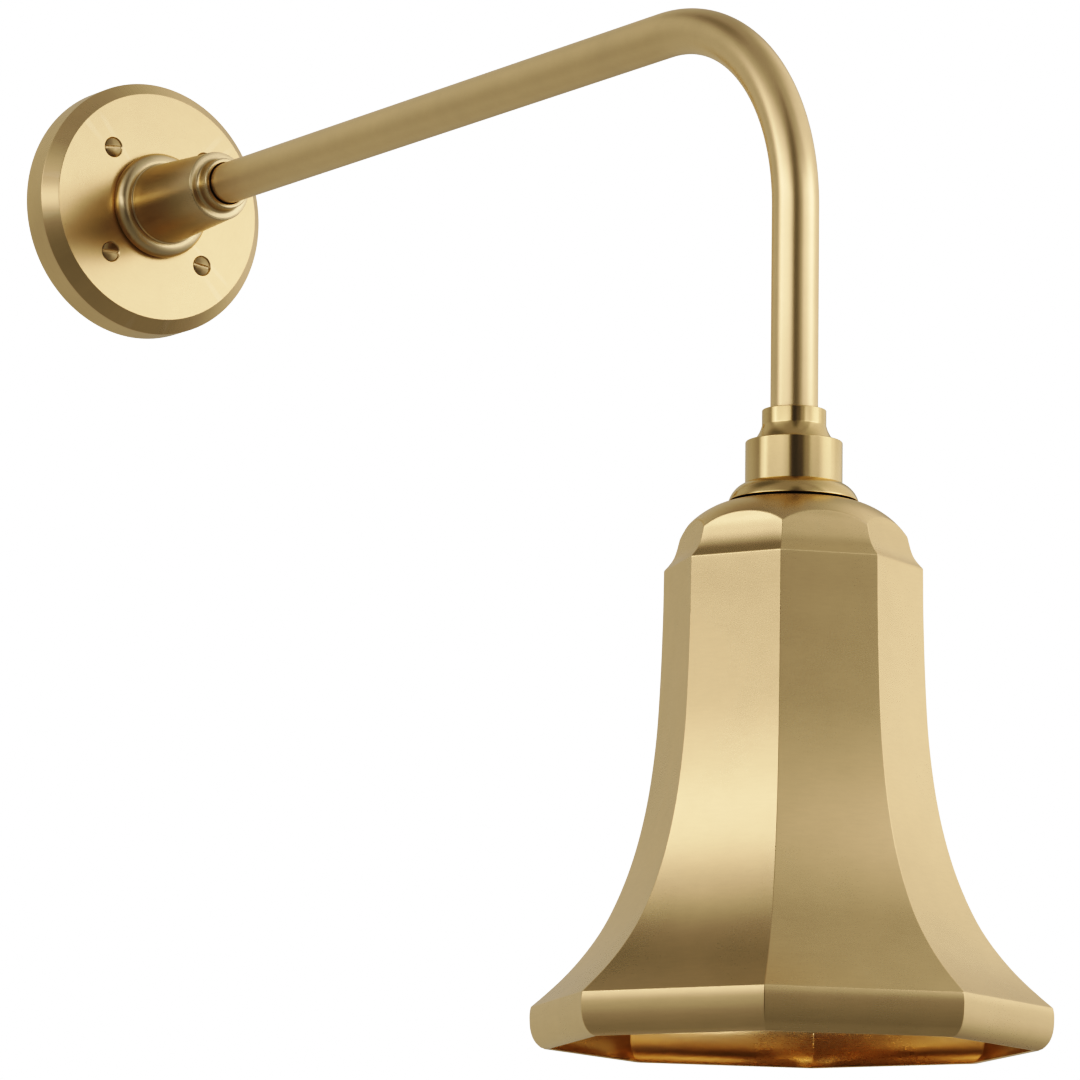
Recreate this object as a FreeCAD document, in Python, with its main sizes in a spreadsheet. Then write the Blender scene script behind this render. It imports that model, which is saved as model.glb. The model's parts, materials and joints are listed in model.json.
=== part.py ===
import FreeCAD, Part
import Sketcher
import math
import os
from FreeCAD import Vector, Placement, Rotation

# Gooseneck wall sconce with an octagonal bell shade.
#
# Frame: the wall is the plane Y = 0 and the origin is the centre of the wall
# plate's back. The arm reaches out along -Y, +Z is up. Millimetres.
#
# Two working directions are used for turned pieces:
#   on the arm axis, a piece's own +Z is "out from the wall" (world -Y);
#   on the drop axis, a piece's own +Z is "down" (world -Z), from the arm's
#   centre line.

doc = FreeCAD.newDocument("wall_sconce")

# ------------------------------------------------------------------ sizes
SIZES = [
    # wall plate
    ("plate_radius", 60.5), ("plate_band", 13.76), ("plate_depth", 19.85),
    ("plate_face_radius", 54.45), ("plate_side", 2.6), ("plate_front", 3.2),
    ("centre_hole", 5.2),
    # face screws
    ("screw_pitch_radius", 35.73), ("screw_hole", 2.3), ("sink_mouth", 4.95),
    ("head_radius", 4.5), ("head_rim", 19.45), ("head_dome", 0.9),
    ("shank_radius", 2.05), ("screw_tip", 6.0), ("slot_width", 1.0),
    ("slot_floor", 19.05),
    # mounting plate behind the wall plate
    ("strap_radius", 54.0), ("strap_thick", 2.0), ("strap_centre_hole", 14.0),
    ("box_spacing", 88.9), ("box_slot_half", 2.4), ("box_slot_length", 11.0),
    ("standoff_radius", 4.0), ("standoff_rivet", 2.6), ("standoff_tap", 2.1),
    ("ground_drop", 36.0),
    # all-thread
    ("pipe_radius", 4.95), ("pipe_bore", 3.5), ("tapped_bore", 5.0),
    ("hex_radius", 8.26),
    # bead and boss on the wall plate
    ("bead_centre_radius", 20.4), ("bead_centre_out", 22.7), ("bead_round", 4.6),
    ("bead_top", 27.3), ("spigot_radius", 15.1), ("boss_foot_radius", 19.5),
    ("boss_root_radius", 18.86), ("boss_root_out", 28.1),
    ("boss_end_radius", 16.2), ("boss_end_out", 74.2),
    ("neck_radius", 12.05), ("neck_end_out", 81.9), ("neck_mouth", 10.15),
    ("tube_seat", 9.62), ("tube_start", 50.0),
    # arm
    ("tube_radius", 9.525), ("tube_bore", 8.325), ("arm_reach", 513.5),
    ("bend_radius", 89.0), ("tube_end_down", 190.0),
    ("plug_radius", 8.28), ("plug_length", 14.0),
    # collar at the lamp end
    ("collar_top", 172.4), ("collar_neck_radius", 12.85),
    ("cove_start", 178.6), ("shoulder_down", 185.3),
    ("collar_radius", 19.4), ("collar_end", 202.3),
    ("holder_radius", 25.85), ("holder_end", 209.6), ("holder_round", 8.82),
    ("gasket_radius", 23.3), ("shade_top", 210.1),
    # shade
    ("shade_wall", 1.3), ("dome_centre_radius", 17.4), ("dome_centre_down", 243.2),
    ("dome_radius", 33.95), ("dome_flat", 25.0), ("shade_twist", 1.75),
    # socket
    ("nut_down", 212.4), ("cap_down", 217.0), ("cap_radius", 17.9),
    ("cap_wall", 0.6), ("socket_shell_radius", 17.15), ("shell_mouth", 278.0),
    ("block_half_x", 9.4), ("block_half_y", 6.5), ("block_down", 230.5),
    ("flange_down", 243.5), ("flange_radius", 15.4), ("shell_down", 248.5),
    ("thread_bore", 13.5),
    # lamp bulb
    ("bulb_radius", 30.0), ("bulb_centre_down", 330.9), ("bulb_cap_radius", 13.05),
    ("glass_thick", 0.7),
    # wiring
    ("wire_radius", 1.1), ("wire_offset", 1.35), ("wire_plane", 7.6),
    ("connector_offset", 14.0),
]
# the octagon's corner radius at each depth: dome flanks, then the long bell,
# then the rim band that curls in at the bottom
FLANK = [(204.0, 44.45), (212.0, 44.55), (219.0, 44.80), (223.0, 45.20),
         (226.5, 46.00), (229.6, 46.85), (232.4, 48.05), (234.6, 49.65),
         (236.7, 51.60)]
BELL = [(236.7, 51.60), (243.0, 51.66), (252.0, 51.74), (262.0, 51.96),
        (274.0, 52.32), (288.0, 52.92), (302.0, 53.78), (316.0, 55.25),
        (330.0, 57.38), (344.0, 60.45), (357.0, 64.35), (369.0, 69.15),
        (380.0, 74.85), (390.0, 81.95), (398.5, 89.50), (405.0, 96.45),
        (410.3, 102.65)]
BAND = [(410.3, 102.65), (413.0, 103.10), (416.0, 103.08), (419.0, 102.80),
        (421.6, 102.10), (423.8, 101.00), (425.6, 99.35), (427.0, 97.40)]
LETTERS = "abcdefghijklmnopqrstuvwxyz"
for tag, rows in (("flank", FLANK), ("bell", BELL), ("band", BAND)):
    for n, (down, rad) in enumerate(rows):
        SIZES.append(("%s_down_%s" % (tag, LETTERS[n]), down))
        SIZES.append(("%s_corner_%s" % (tag, LETTERS[n]), rad))

sheet = doc.addObject("Spreadsheet::Sheet", "Dims")
for row, (alias, number) in enumerate(SIZES, start=1):
    sheet.set("A%d" % row, alias)
    sheet.set("B%d" % row, "%.6g" % number)
    sheet.setAlias("B%d" % row, alias)
doc.recompute()
VALUE = dict(SIZES)


class Q(object):
    """A length that carries its number and the sheet formula behind it."""

    def __init__(self, number, text):
        self.v = float(number)
        self.text = text

    @staticmethod
    def of(other):
        return other if isinstance(other, Q) else Q(other, "%.9g" % other)

    def __add__(self, o):
        o = Q.of(o)
        return Q(self.v + o.v, "(%s + %s)" % (self.text, o.text))

    def __radd__(self, o):
        return Q.of(o) + self

    def __sub__(self, o):
        o = Q.of(o)
        return Q(self.v - o.v, "(%s - %s)" % (self.text, o.text))

    def __rsub__(self, o):
        return Q.of(o) - self

    def __mul__(self, o):
        o = Q.of(o)
        return Q(self.v * o.v, "(%s * %s)" % (self.text, o.text))

    __rmul__ = __mul__

    def __truediv__(self, o):
        o = Q.of(o)
        return Q(self.v / o.v, "(%s / %s)" % (self.text, o.text))

    def __neg__(self):
        return Q(-self.v, "(0 - %s)" % self.text)


def q(alias):
    return Q(VALUE[alias], "Dims." + alias)


def num(x):
    return x.v if isinstance(x, Q) else float(x)


def is_bound(x):
    return isinstance(x, Q) and "Dims." in x.text


def bind(obj, prop, x):
    if is_bound(x):
        obj.setExpression(prop, x.text)


def place(obj, base=(0, 0, 0), rot=None):
    """Placement, with its position bound where it comes from the sheet."""
    obj.Placement = Placement(Vector(*[num(b) for b in base]),
                              rot if rot is not None else Rotation())
    for axis, b in zip("xyz", base):
        bind(obj, ".Placement.Base." + axis, b)
    return obj


OUT = Rotation(Vector(1, 0, 0), 90)       # own +Z -> world -Y, own +Y -> world +Z
DOWN = Rotation(Vector(1, 0, 0), 180)     # own +Z -> world -Z
REACH = q("arm_reach")
ON_ARM = dict(base=(0, 0, 0), rot=OUT)
ON_DROP = dict(base=(0, -REACH, 0), rot=DOWN)


# ------------------------------------------------------------ sketch tools
def sketch_on(body, role, name):
    sk = body.newObject("Sketcher::SketchObject", name)
    plane = [f for f in body.Origin.OriginFeatures if f.Role == role][0]
    sk.AttachmentSupport = [(plane, "")]
    sk.MapMode = "FlatFace"
    return sk


def pin_point(sk, geo, pos, x, y, tag):
    """Hold one end of a sketch edge at (x, y), bound to the sheet."""
    if abs(num(x)) < 1e-9:
        sk.addConstraint(Sketcher.Constraint("PointOnObject", geo, pos, -2))
    else:
        i = sk.addConstraint(Sketcher.Constraint("DistanceX", -1, 1, geo, pos, num(x)))
        sk.renameConstraint(i, "x_" + tag)
        bind(sk, "Constraints.x_" + tag, x)
    if abs(num(y)) < 1e-9:
        sk.addConstraint(Sketcher.Constraint("PointOnObject", geo, pos, -1))
    else:
        i = sk.addConstraint(Sketcher.Constraint("DistanceY", -1, 1, geo, pos, num(y)))
        sk.renameConstraint(i, "y_" + tag)
        bind(sk, "Constraints.y_" + tag, y)


def outline(sk, points, closed=True):
    """Edges through points; a point may be (x, y) or (x, y, (mx, my)) where
    (mx, my) is a point that the arc to the next point passes near."""
    n = len(points)
    last = n if closed else n - 1
    edges = []
    for i in range(last):
        a = points[i]
        b = points[(i + 1) % n]
        pa = Vector(num(a[0]), num(a[1]), 0)
        pb = Vector(num(b[0]), num(b[1]), 0)
        if len(a) > 2:
            pm = Vector(num(a[2][0]), num(a[2][1]), 0)
            g = sk.addGeometry(Part.Arc(pa, pm, pb), False)
        else:
            g = sk.addGeometry(Part.LineSegment(pa, pb), False)
        start = 1 if (sk.getPoint(g, 1) - pa).Length < (sk.getPoint(g, 2) - pa).Length else 2
        edges.append((g, start, 3 - start, len(a) > 2))
    for i, (g, s, e, arc) in enumerate(edges):
        if closed or i + 1 < len(edges):
            g2, s2 = edges[(i + 1) % len(edges)][:2]
            sk.addConstraint(Sketcher.Constraint("Coincident", g, e, g2, s2))
    for i, (g, s, e, arc) in enumerate(edges):
        pin_point(sk, g, s, points[i][0], points[i][1], "p%d" % i)
        if arc:
            radius = sk.Geometry[g].Radius
            sk.addConstraint(Sketcher.Constraint("Radius", g, radius))
    if not closed:
        g, s, e, arc = edges[-1]
        pin_point(sk, g, e, points[-1][0], points[-1][1], "p%d" % (n - 1))
    return edges


def turned(name, points, base=(0, 0, 0), rot=None):
    """A piece turned about its own Z axis from a (radius, height) outline."""
    body = doc.addObject("PartDesign::Body", name)
    body.Label = name
    sk = sketch_on(body, "XZ_Plane", name + "_outline")
    outline(sk, points)
    rev = body.newObject("PartDesign::Revolution", name + "_turn")
    rev.Profile = sk
    rev.ReferenceAxis = (sk, ["V_Axis"])
    rev.Angle = 360
    body.Tip = rev
    place(body, base, rot)
    return body


def ring(name, inner, outer, low, high, base=(0, 0, 0), rot=None):
    return turned(name, [(inner, low), (outer, low), (outer, high), (inner, high)], base, rot)


def prim(kind, name, base=(0, 0, 0), rot=None, **props):
    obj = doc.addObject("Part::" + kind, name)
    for k, v in props.items():
        setattr(obj, k, int(v) if k == "Polygon" else num(v))
        bind(obj, k, v)
    return place(obj, base, rot)


def cut(name, base_obj, tools):
    tool = tools[0]
    if len(tools) > 1:
        tool = doc.addObject("Part::MultiFuse", name + "_tools")
        tool.Shapes = tools
    c = doc.addObject("Part::Cut", name)
    c.Base = base_obj
    c.Tool = tool
    return c


def join(name, shapes):
    f = doc.addObject("Part::MultiFuse", name)
    f.Shapes = shapes
    return f


def group_of(name, source, places):
    """Several copies of one piece, as separate solids of one sub-part."""
    links = []
    for i, (base, rot) in enumerate(places):
        ln = doc.addObject("App::Link", "%s_%d" % (name, i + 1))
        ln.LinkedObject = source
        ln.LinkTransform = False
        place(ln, base, rot)
        links.append(ln)
    comp = doc.addObject("Part::Compound", name)
    comp.Links = links
    return comp


KEEP = []


def sub_part(name, obj):
    obj.Label = name
    KEEP.append((name, obj))
    return obj


def around(radius, angles):
    """World positions on the wall plate, seen from the room: 0 is +X, 90 is up."""
    out = []
    for a in angles:
        c, s = math.cos(math.radians(a)), math.sin(math.radians(a))
        out.append((radius * c, radius * s))
    return out


# ------------------------------------------------------------- wall plate
pr_, pd, pf = q("plate_radius"), q("plate_depth"), q("plate_front")
inner_out = pd - pf
inner_r = pr_ - q("plate_side")
plate_blank = turned("wall_plate_blank", [
    (inner_r, 0), (pr_, 0), (pr_, q("plate_band")),
    (q("plate_face_radius"), pd), (q("centre_hole"), pd),
    (q("centre_hole"), inner_out), (inner_r - 4.9, inner_out),
    (inner_r, q("plate_band") - 2.0)], **ON_ARM)

SCREW_AT = around(q("screw_pitch_radius"), (45, 135, 225, 315))
sink_depth = (q("sink_mouth") - q("screw_hole")) * 1.1504
plate_cuts = []
for i, (x, z) in enumerate(SCREW_AT):
    plate_cuts.append(prim("Cylinder", "plate_hole_%d" % (i + 1), (x, 0, z), OUT,
                           Radius=q("screw_hole"), Height=pd + 2))
    plate_cuts.append(prim("Cone", "plate_sink_%d" % (i + 1), (x, -(pd - sink_depth), z), OUT,
                           Radius1=q("screw_hole"), Radius2=q("sink_mouth"), Height=sink_depth))
wall_plate = sub_part("wall_plate", cut("wall_plate", plate_blank, plate_cuts))

# oval-head slotted screws, head rim just below the face
hr, rim = q("head_radius"), q("head_rim")
cone_foot = rim - (hr - q("shank_radius")) * 1.1504
dome_top = rim + q("head_dome")
sphere = (num(hr) ** 2 + num(q("head_dome")) ** 2) / (2 * num(q("head_dome")))
mid_r = num(hr) * 0.55
mid_h = num(dome_top) - sphere + math.sqrt(sphere ** 2 - mid_r ** 2)
screw_blank = turned("plate_screw_blank", [
    (0, q("screw_tip")), (q("shank_radius") - 0.5, q("screw_tip")),
    (q("shank_radius"), q("screw_tip") + 0.6), (q("shank_radius"), cone_foot),
    (hr, rim, (mid_r, mid_h)), (0, dome_top)], **ON_ARM)
slot_tool = prim("Box", "plate_screw_slot",
                 (-10, -(q("slot_floor") + 4), -(q("slot_width") / 2)), None,
                 Length=20, Width=4, Height=q("slot_width"))
plate_screw = cut("plate_screw_one", screw_blank, [slot_tool])
SLOT_TURN = (-20, -6, 0, 8)
plate_screws = sub_part("plate_screws", group_of("plate_screws", plate_screw, [
    ((x, 0, z), Rotation(Vector(0, 1, 0), SLOT_TURN[i])) for i, (x, z) in enumerate(SCREW_AT)]))

# ----------------------------------------- steel mounting plate, standoffs
st = q("strap_thick")
strap_disc = ring("mounting_plate_blank", q("strap_centre_hole"), q("strap_radius"), 0, st, **ON_ARM)
strap_cuts = []
half = q("box_slot_half")
run = (q("box_slot_length") - half * 2) / 2
for side, word in ((-1, "left"), (1, "right")):
    cx = q("box_spacing") / 2 * side
    strap_cuts.append(prim("Box", "box_slot_%s" % word, (cx - run, -(st + 1), -half), None,
                           Length=run * 2, Width=st + 2, Height=half * 2))
    for end, tag in ((-1, "inner"), (1, "outer")):
        strap_cuts.append(prim("Cylinder", "box_slot_%s_%s" % (word, tag),
                               (cx + run * end, 1, 0), OUT, Radius=half, Height=st + 2))
for i, (x, z) in enumerate(SCREW_AT):
    strap_cuts.append(prim("Cylinder", "standoff_seat_%d" % (i + 1), (x, 1, z), OUT,
                           Radius=q("standoff_rivet"), Height=st + 2))
strap_cuts.append(prim("Cylinder", "ground_tap", (0, 1, -q("ground_drop")), OUT,
                       Radius=2.45, Height=st + 2))
sub_part("mounting_plate", cut("mounting_plate", strap_disc, strap_cuts))

standoff = turned("standoff_one", [
    (0, 0.2), (q("standoff_rivet") - 0.02, 0.2), (q("standoff_rivet") - 0.02, st),
    (q("standoff_radius"), st), (q("standoff_radius"), inner_out),
    (q("standoff_tap"), inner_out), (q("standoff_tap"), 4.6), (0, 4.0)], **ON_ARM)
sub_part("plate_standoffs", group_of("plate_standoffs", standoff, [
    ((x, 0, z), OUT) for x, z in SCREW_AT]))

# earth screw, its ring terminals and the earth lead
sub_part("ground_screw", turned("ground_screw", [
    (0, 0.2), (2.4, 0.2), (2.4, st + 0.9), (4.6, st + 0.9), (4.6, st + 1.6),
    (3.9, st + 1.6), (3.7, st + 4.2), (0, st + 4.2)],
    base=(0, 0, -q("ground_drop")), rot=OUT))

lug_low = ring("lug_low", 2.5, 4.4, st, st + 0.8, base=(0, 0, -q("ground_drop")), rot=OUT)
lug_tail_low = prim("Box", "lug_tail_low", (-1.6, -(st + 0.8), -(q("ground_drop") - 4.0)), None,
                    Length=3.2, Width=0.8, Height=5.5)
low = join("lug_one", [lug_low, lug_tail_low])
nut_face = inner_out - 0.9
lug_high = ring("lug_high", q("tapped_bore") + 0.1, 8.4, nut_face - 0.7, nut_face, **ON_ARM)
lug_tail_high = prim("Box", "lug_tail_high", (-1.6, -nut_face, -13.5), None,
                     Length=3.2, Width=0.7, Height=5.6)
high = join("lug_two", [lug_high, lug_tail_high])
lugs = doc.addObject("Part::Compound", "ground_terminals")
lugs.Links = [low, high]
sub_part("ground_terminals", lugs)

# ------------------------------------------- nipple, nut and washer at wall
pipe_end = nut_face - 0.7 - 2.8 - 0.65
sub_part("wall_lock_washer", ring("wall_lock_washer", q("tapped_bore") + 0.1, 8.8,
                                  nut_face, inner_out, **ON_ARM))
nut_hex = prim("Prism", "wall_nut_hex", (0, -(nut_face - 3.5), 0), OUT,
               Polygon=6, Circumradius=q("hex_radius"), Height=2.8)
nut_bore = prim("Cylinder", "wall_nut_bore", (0, -(nut_face - 5), 0), OUT,
                Radius=q("tapped_bore"), Height=6)
sub_part("wall_lock_nut", cut("wall_lock_nut", nut_hex, [nut_bore]))
sub_part("wall_nipple", ring("wall_nipple", q("pipe_bore"), q("pipe_radius"),
                             pipe_end, 63.0, **ON_ARM))
sub_part("wire_bushing", turned("wire_bushing", [
    (2.75, pipe_end - 0.6), (4.9, pipe_end - 0.6), (4.9, pipe_end), (3.45, pipe_end),
    (3.45, pipe_end + 5), (2.75, pipe_end + 5)], **ON_ARM))

# ------------------------------------------------------- bead and arm boss
bc, bo, br = q("bead_centre_radius"), q("bead_centre_out"), q("bead_round")
foot = math.sqrt(num(br) ** 2 - (num(bo) - num(pd)) ** 2)
sub_part("boss_bead", turned("boss_bead", [
    (q("spigot_radius") + 0.1, pd),
    (bc + foot, pd, (num(bc) + num(br) * math.cos(0.45), num(bo) + num(br) * math.sin(0.45))),
    (bc, q("bead_top")), (q("spigot_radius") + 0.1, q("bead_top"))], **ON_ARM))

bt = q("bead_top")
be, beo = q("boss_end_radius"), q("boss_end_out")
nk, neo = q("neck_radius"), q("neck_end_out")
sub_part("arm_boss", turned("arm_boss", [
    (q("centre_hole"), pd), (q("spigot_radius"), pd), (q("spigot_radius"), bt),
    (q("boss_foot_radius"), bt), (q("boss_foot_radius"), bt + 0.5),
    (q("boss_root_radius"), q("boss_root_out")),
    (be, beo, (num(be) - 0.12, num(beo) + 0.42)),
    (be - 0.5, beo + 0.6), (be - 2.6, beo + 0.9, (num(be) - 3.65, num(beo) + 1.25)),
    (nk, beo + 2.3), (nk - 0.1, neo - 0.6, (num(nk) - 0.28, num(neo) - 0.17)),
    (nk - 0.7, neo), (q("neck_mouth"), neo), (q("neck_mouth"), neo - 3.0),
    (q("tube_seat"), neo - 3.4), (q("tube_seat"), q("tube_start")),
    (q("centre_hole"), q("tube_start"))], **ON_ARM))

# ---------------------------------------------------------------- arm tube
arm = doc.addObject("PartDesign::Body", "arm_tube")
FORWARD = Rotation(Vector(0, -1, 0), Vector(-1, 0, 0), Vector(0, 0, -1), "ZXY")
path = sketch_on(arm, "XZ_Plane", "arm_path")
bend = q("bend_radius")
corner_out = REACH - bend
k = math.sqrt(0.5)
outline(path, [
    (q("tube_start"), 0), (corner_out, 0, (num(corner_out) + num(bend) * k, num(bend) * (1 - k))),
    (REACH, bend), (REACH, q("tube_end_down"))], closed=False)
section = sketch_on(arm, "YZ_Plane", "arm_section")
section.AttachmentOffset = Placement(Vector(0, 0, num(q("tube_start"))), Rotation())
section.setExpression(".AttachmentOffset.Base.z", q("tube_start").text)
for alias in ("tube_radius", "tube_bore"):
    g = section.addGeometry(Part.Circle(Vector(0, 0, 0), Vector(0, 0, 1), VALUE[alias]), False)
    section.addConstraint(Sketcher.Constraint("Coincident", g, 3, -1, 1))
    i = section.addConstraint(Sketcher.Constraint("Radius", g, VALUE[alias]))
    section.renameConstraint(i, alias)
    section.setExpression("Constraints." + alias, "Dims." + alias)
pipe = arm.newObject("PartDesign::AdditivePipe", "arm_sweep")
pipe.Profile = section
pipe.Spine = (path, [])
arm.Tip = pipe
place(arm, (0, 0, 0), FORWARD)
sub_part("arm_tube", arm)

pl = q("plug_length")
sub_part("arm_plug_wall", ring("arm_plug_wall", q("tapped_bore"), q("plug_radius"),
                               q("tube_start") + 0.1, q("tube_start") + pl, **ON_ARM))
sub_part("arm_plug_lamp", ring("arm_plug_lamp", q("tapped_bore"), q("plug_radius"),
                               q("tube_end_down") - pl, q("tube_end_down") - 0.1, **ON_DROP))

# -------------------------------------------------- collar above the shade
ct, cn, cs = q("collar_top"), q("collar_neck_radius"), q("cove_start")
sd, cr, ce = q("shoulder_down"), q("collar_radius"), q("collar_end")
sub_part("lamp_collar", turned("lamp_collar", [
    (q("tube_seat"), ct), (cn - 0.4, ct, (num(cn) - 0.12, num(ct) + 0.12)), (cn, ct + 0.4),
    (cn, cs, (num(cn) + 1.2, num(cs) + 3.3)), (cn + 3.7, sd), (cr - 0.5, sd, (num(cr) - 0.15, num(sd) + 0.15)),
    (cr, sd + 0.5), (cr, ce), (q("centre_hole"), ce),
    (q("centre_hole"), q("tube_end_down")), (q("tube_seat"), q("tube_end_down"))], **ON_DROP))

ho, he = q("holder_radius"), q("holder_end")
sub_part("shade_holder", turned("shade_holder", [
    (q("centre_hole"), ce), (cr + 0.1, ce, (num(cr) + 4.1, num(ce) + 2.8)),
    (ho, he - 0.3), (ho - 0.25, he), (q("centre_hole"), he)], **ON_DROP))
sub_part("shade_gasket", ring("shade_gasket", q("centre_hole"), q("gasket_radius"),
                              he, q("shade_top"), **ON_DROP))
sub_part("lamp_nipple", ring("lamp_nipple", q("pipe_bore"), q("pipe_radius"),
                             q("tube_end_down") - 13.0, 222.0, **ON_DROP))

# ------------------------------------------------------------------- shade
# Every level of the shade is a regular octagon; the top is rounded off by a
# turned dome, which leaves a scalloped arc on the head of each facet.
wall = q("shade_wall")
APO = math.cos(math.radians(22.5))


def thicken(rows):
    """Horizontal wall factor at each level, from the slope of the profile."""
    out = []
    for n in range(len(rows)):
        a = rows[max(n - 1, 0)]
        b = rows[min(n + 1, len(rows) - 1)]
        slope = (b[1] - a[1]) * APO / (b[0] - a[0])
        out.append(math.sqrt(1 + slope * slope) / APO)
    return out


def octagon_loft(name, tag, rows, inside=False, stretch=0.0, head=0.0):
    """A loft through octagons; the inside one is smaller by the wall."""
    f = thicken(rows)
    rings = []
    count = len(rows)
    for n in range(count):
        down = q("%s_down_%s" % (tag, LETTERS[n]))
        rad = q("%s_corner_%s" % (tag, LETTERS[n]))
        if inside:
            rad = rad - wall * round(f[n], 4)
        rings.append(prim("RegularPolygon", "%s_ring_%s" % (name, LETTERS[n]),
                          (0, 0, -down), None, Polygon=8, Circumradius=rad))
    if stretch:
        a = rows[-1]
        b = rows[-2]
        slope = (a[1] - b[1]) / (a[0] - b[0])
        rings.append(prim("RegularPolygon", "%s_ring_end" % name,
                          (0, 0, -(q("%s_down_%s" % (tag, LETTERS[count - 1])) + stretch)), None,
                          Polygon=8, Circumradius=q("%s_corner_%s" % (tag, LETTERS[count - 1]))
                          - wall * round(f[-1], 4) + slope * stretch))
    loft = doc.addObject("Part::Loft", name)
    loft.Sections = rings
    loft.Solid = True
    loft.Ruled = False
    return loft


octagon_out = join("octagon_out", [octagon_loft("flank_out", "flank", FLANK),
                                   octagon_loft("bell_out", "bell", BELL),
                                   octagon_loft("band_out", "band", BAND)])
octagon_in = join("octagon_in", [octagon_loft("flank_in", "flank", FLANK, True),
                                 octagon_loft("bell_in", "bell", BELL, True),
                                 octagon_loft("band_in", "band", BAND, True, 0.8)])

dcr, dcd, dr = q("dome_centre_radius"), q("dome_centre_down"), q("dome_radius")


def dome(name, flat_r, top, shrink, bottom):
    """The turned form that rounds off the head of the octagon."""
    r_end = num(dcr) + (num(dr) - shrink) * math.cos(math.radians(26.0))
    d_end = num(dcd) - (num(dr) - shrink) * math.sin(math.radians(26.0))
    a_mid = math.radians(52.0)
    mid = (num(dcr) + (num(dr) - shrink) * math.cos(a_mid),
           num(dcd) - (num(dr) - shrink) * math.sin(a_mid))
    return turned(name, [
        (0, top), (flat_r, top, mid), (r_end, d_end),
        (62.0, 235.6 + shrink * 0.4), (130.0, 242.0), (130.0, bottom), (0, bottom)],
        base=(0, 0, 0), rot=DOWN)


def arc_radius_at(down, shrink):
    h = num(dcd) - num(down)
    return num(dcr) + math.sqrt((num(dr) - shrink) ** 2 - h * h)


top_in = q("shade_top") + wall
dome_out = dome("dome_out", arc_radius_at(q("shade_top"), 0.0), q("shade_top"), 0.0, 440.0)
dome_in = dome("dome_in", arc_radius_at(top_in, num(wall)), top_in, num(wall), 440.0)


def common(name, shapes):
    c = doc.addObject("Part::MultiCommon", name)
    c.Shapes = shapes
    return c


shade_outer = common("shade_outer", [octagon_out, dome_out])
shade_inner = common("shade_inner", [octagon_in, dome_in])
shade_hole = prim("Cylinder", "shade_hole", (0, 0, -q("shade_top") - 4), None,
                  Radius=q("centre_hole"), Height=6)
shade = cut("shade", shade_outer, [shade_inner, shade_hole])
place(shade, (0, -REACH, 0), Rotation(Vector(0, 0, 1), VALUE["shade_twist"]))
sub_part("shade", shade)

# ------------------------------------------------------------ under the top
nd = q("nut_down")
sub_part("shade_washer", ring("shade_washer", q("centre_hole"), 13.0, top_in, nd, **ON_DROP))
nut2_hex = prim("Prism", "shade_nut_hex", (0, -REACH, -nd), DOWN,
                Polygon=6, Circumradius=q("hex_radius"), Height=4.0)
nut2_bore = prim("Cylinder", "shade_nut_bore", (0, -REACH, -nd + 1), DOWN,
                 Radius=q("tapped_bore"), Height=6.0)
sub_part("shade_lock_nut", cut("shade_lock_nut", nut2_hex, [nut2_bore]))

# ----------------------------------------------------------- lamp socket
cd, cpr, cw = q("cap_down"), q("cap_radius"), q("cap_wall")
sub_part("socket_cap", turned("socket_cap", [
    (q("tapped_bore"), cd), (7.6, cd), (7.6, cd + 6.0, (14.6, num(cd) + 10.2)),
    (cpr, cd + 19.0), (cpr, cd + 31.0), (cpr - cw, cd + 31.0),
    (cpr - cw, cd + 19.2, (14.1, num(cd) + 10.9)), (7.0, cd + 6.8),
    (q("tapped_bore"), cd + 6.8)], **ON_DROP))
ssr, sm = q("socket_shell_radius"), q("shell_mouth")
sub_part("socket_shell", turned("socket_shell", [
    (ssr - 0.5, 241.5), (ssr, 241.5), (ssr, sm - 3.0, (num(ssr) + 0.8, num(sm) - 1.6)),
    (ssr, sm - 0.2), (ssr - 0.5, sm - 0.2)], **ON_DROP))
sub_part("socket_liner", ring("socket_liner", ssr - 1.25, ssr - 0.65, 242.0, sm - 1.0, **ON_DROP))

fr, fd, sh = q("flange_radius"), q("flange_down"), q("shell_down")
block = prim("Box", "socket_block",
             (-q("block_half_x"), -REACH - q("block_half_y"), -fd - 0.5), None,
             Length=q("block_half_x") * 2, Width=q("block_half_y") * 2,
             Height=fd - q("block_down") + 0.5)
flange = prim("Cylinder", "socket_flange", (0, -REACH, -fd), DOWN, Radius=fr, Height=sh - fd)
TERM_DOWN = 238.0
term_holes = [prim("Cylinder", "terminal_hole_%s" % w,
                   (q("block_half_x") * s - 6.0 * s, -REACH, -TERM_DOWN),
                   Rotation(Vector(0, 1, 0), 90 * s), Radius=1.75, Height=8.0)
              for w, s in (("left", -1), ("right", 1))]
sub_part("socket_body", cut("socket_body", join("socket_blank", [block, flange]), term_holes))

tb = q("thread_bore")
sub_part("screw_shell", turned("screw_shell", [
    (6.0, sh), (tb + 0.4, sh), (tb + 0.4, sm - 3.0), (tb, sm - 3.0),
    (tb, sh + 0.4), (6.0, sh + 0.4)], **ON_DROP))
sub_part("centre_contact", turned("centre_contact", [
    (0, sh), (4.4, sh), (4.4, sh + 0.5), (3.3, sh + 0.5), (2.9, sh + 1.3), (2.2, sh + 1.8),
    (1.1, sh + 2.05), (0, sh + 2.1)], **ON_DROP))

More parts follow.
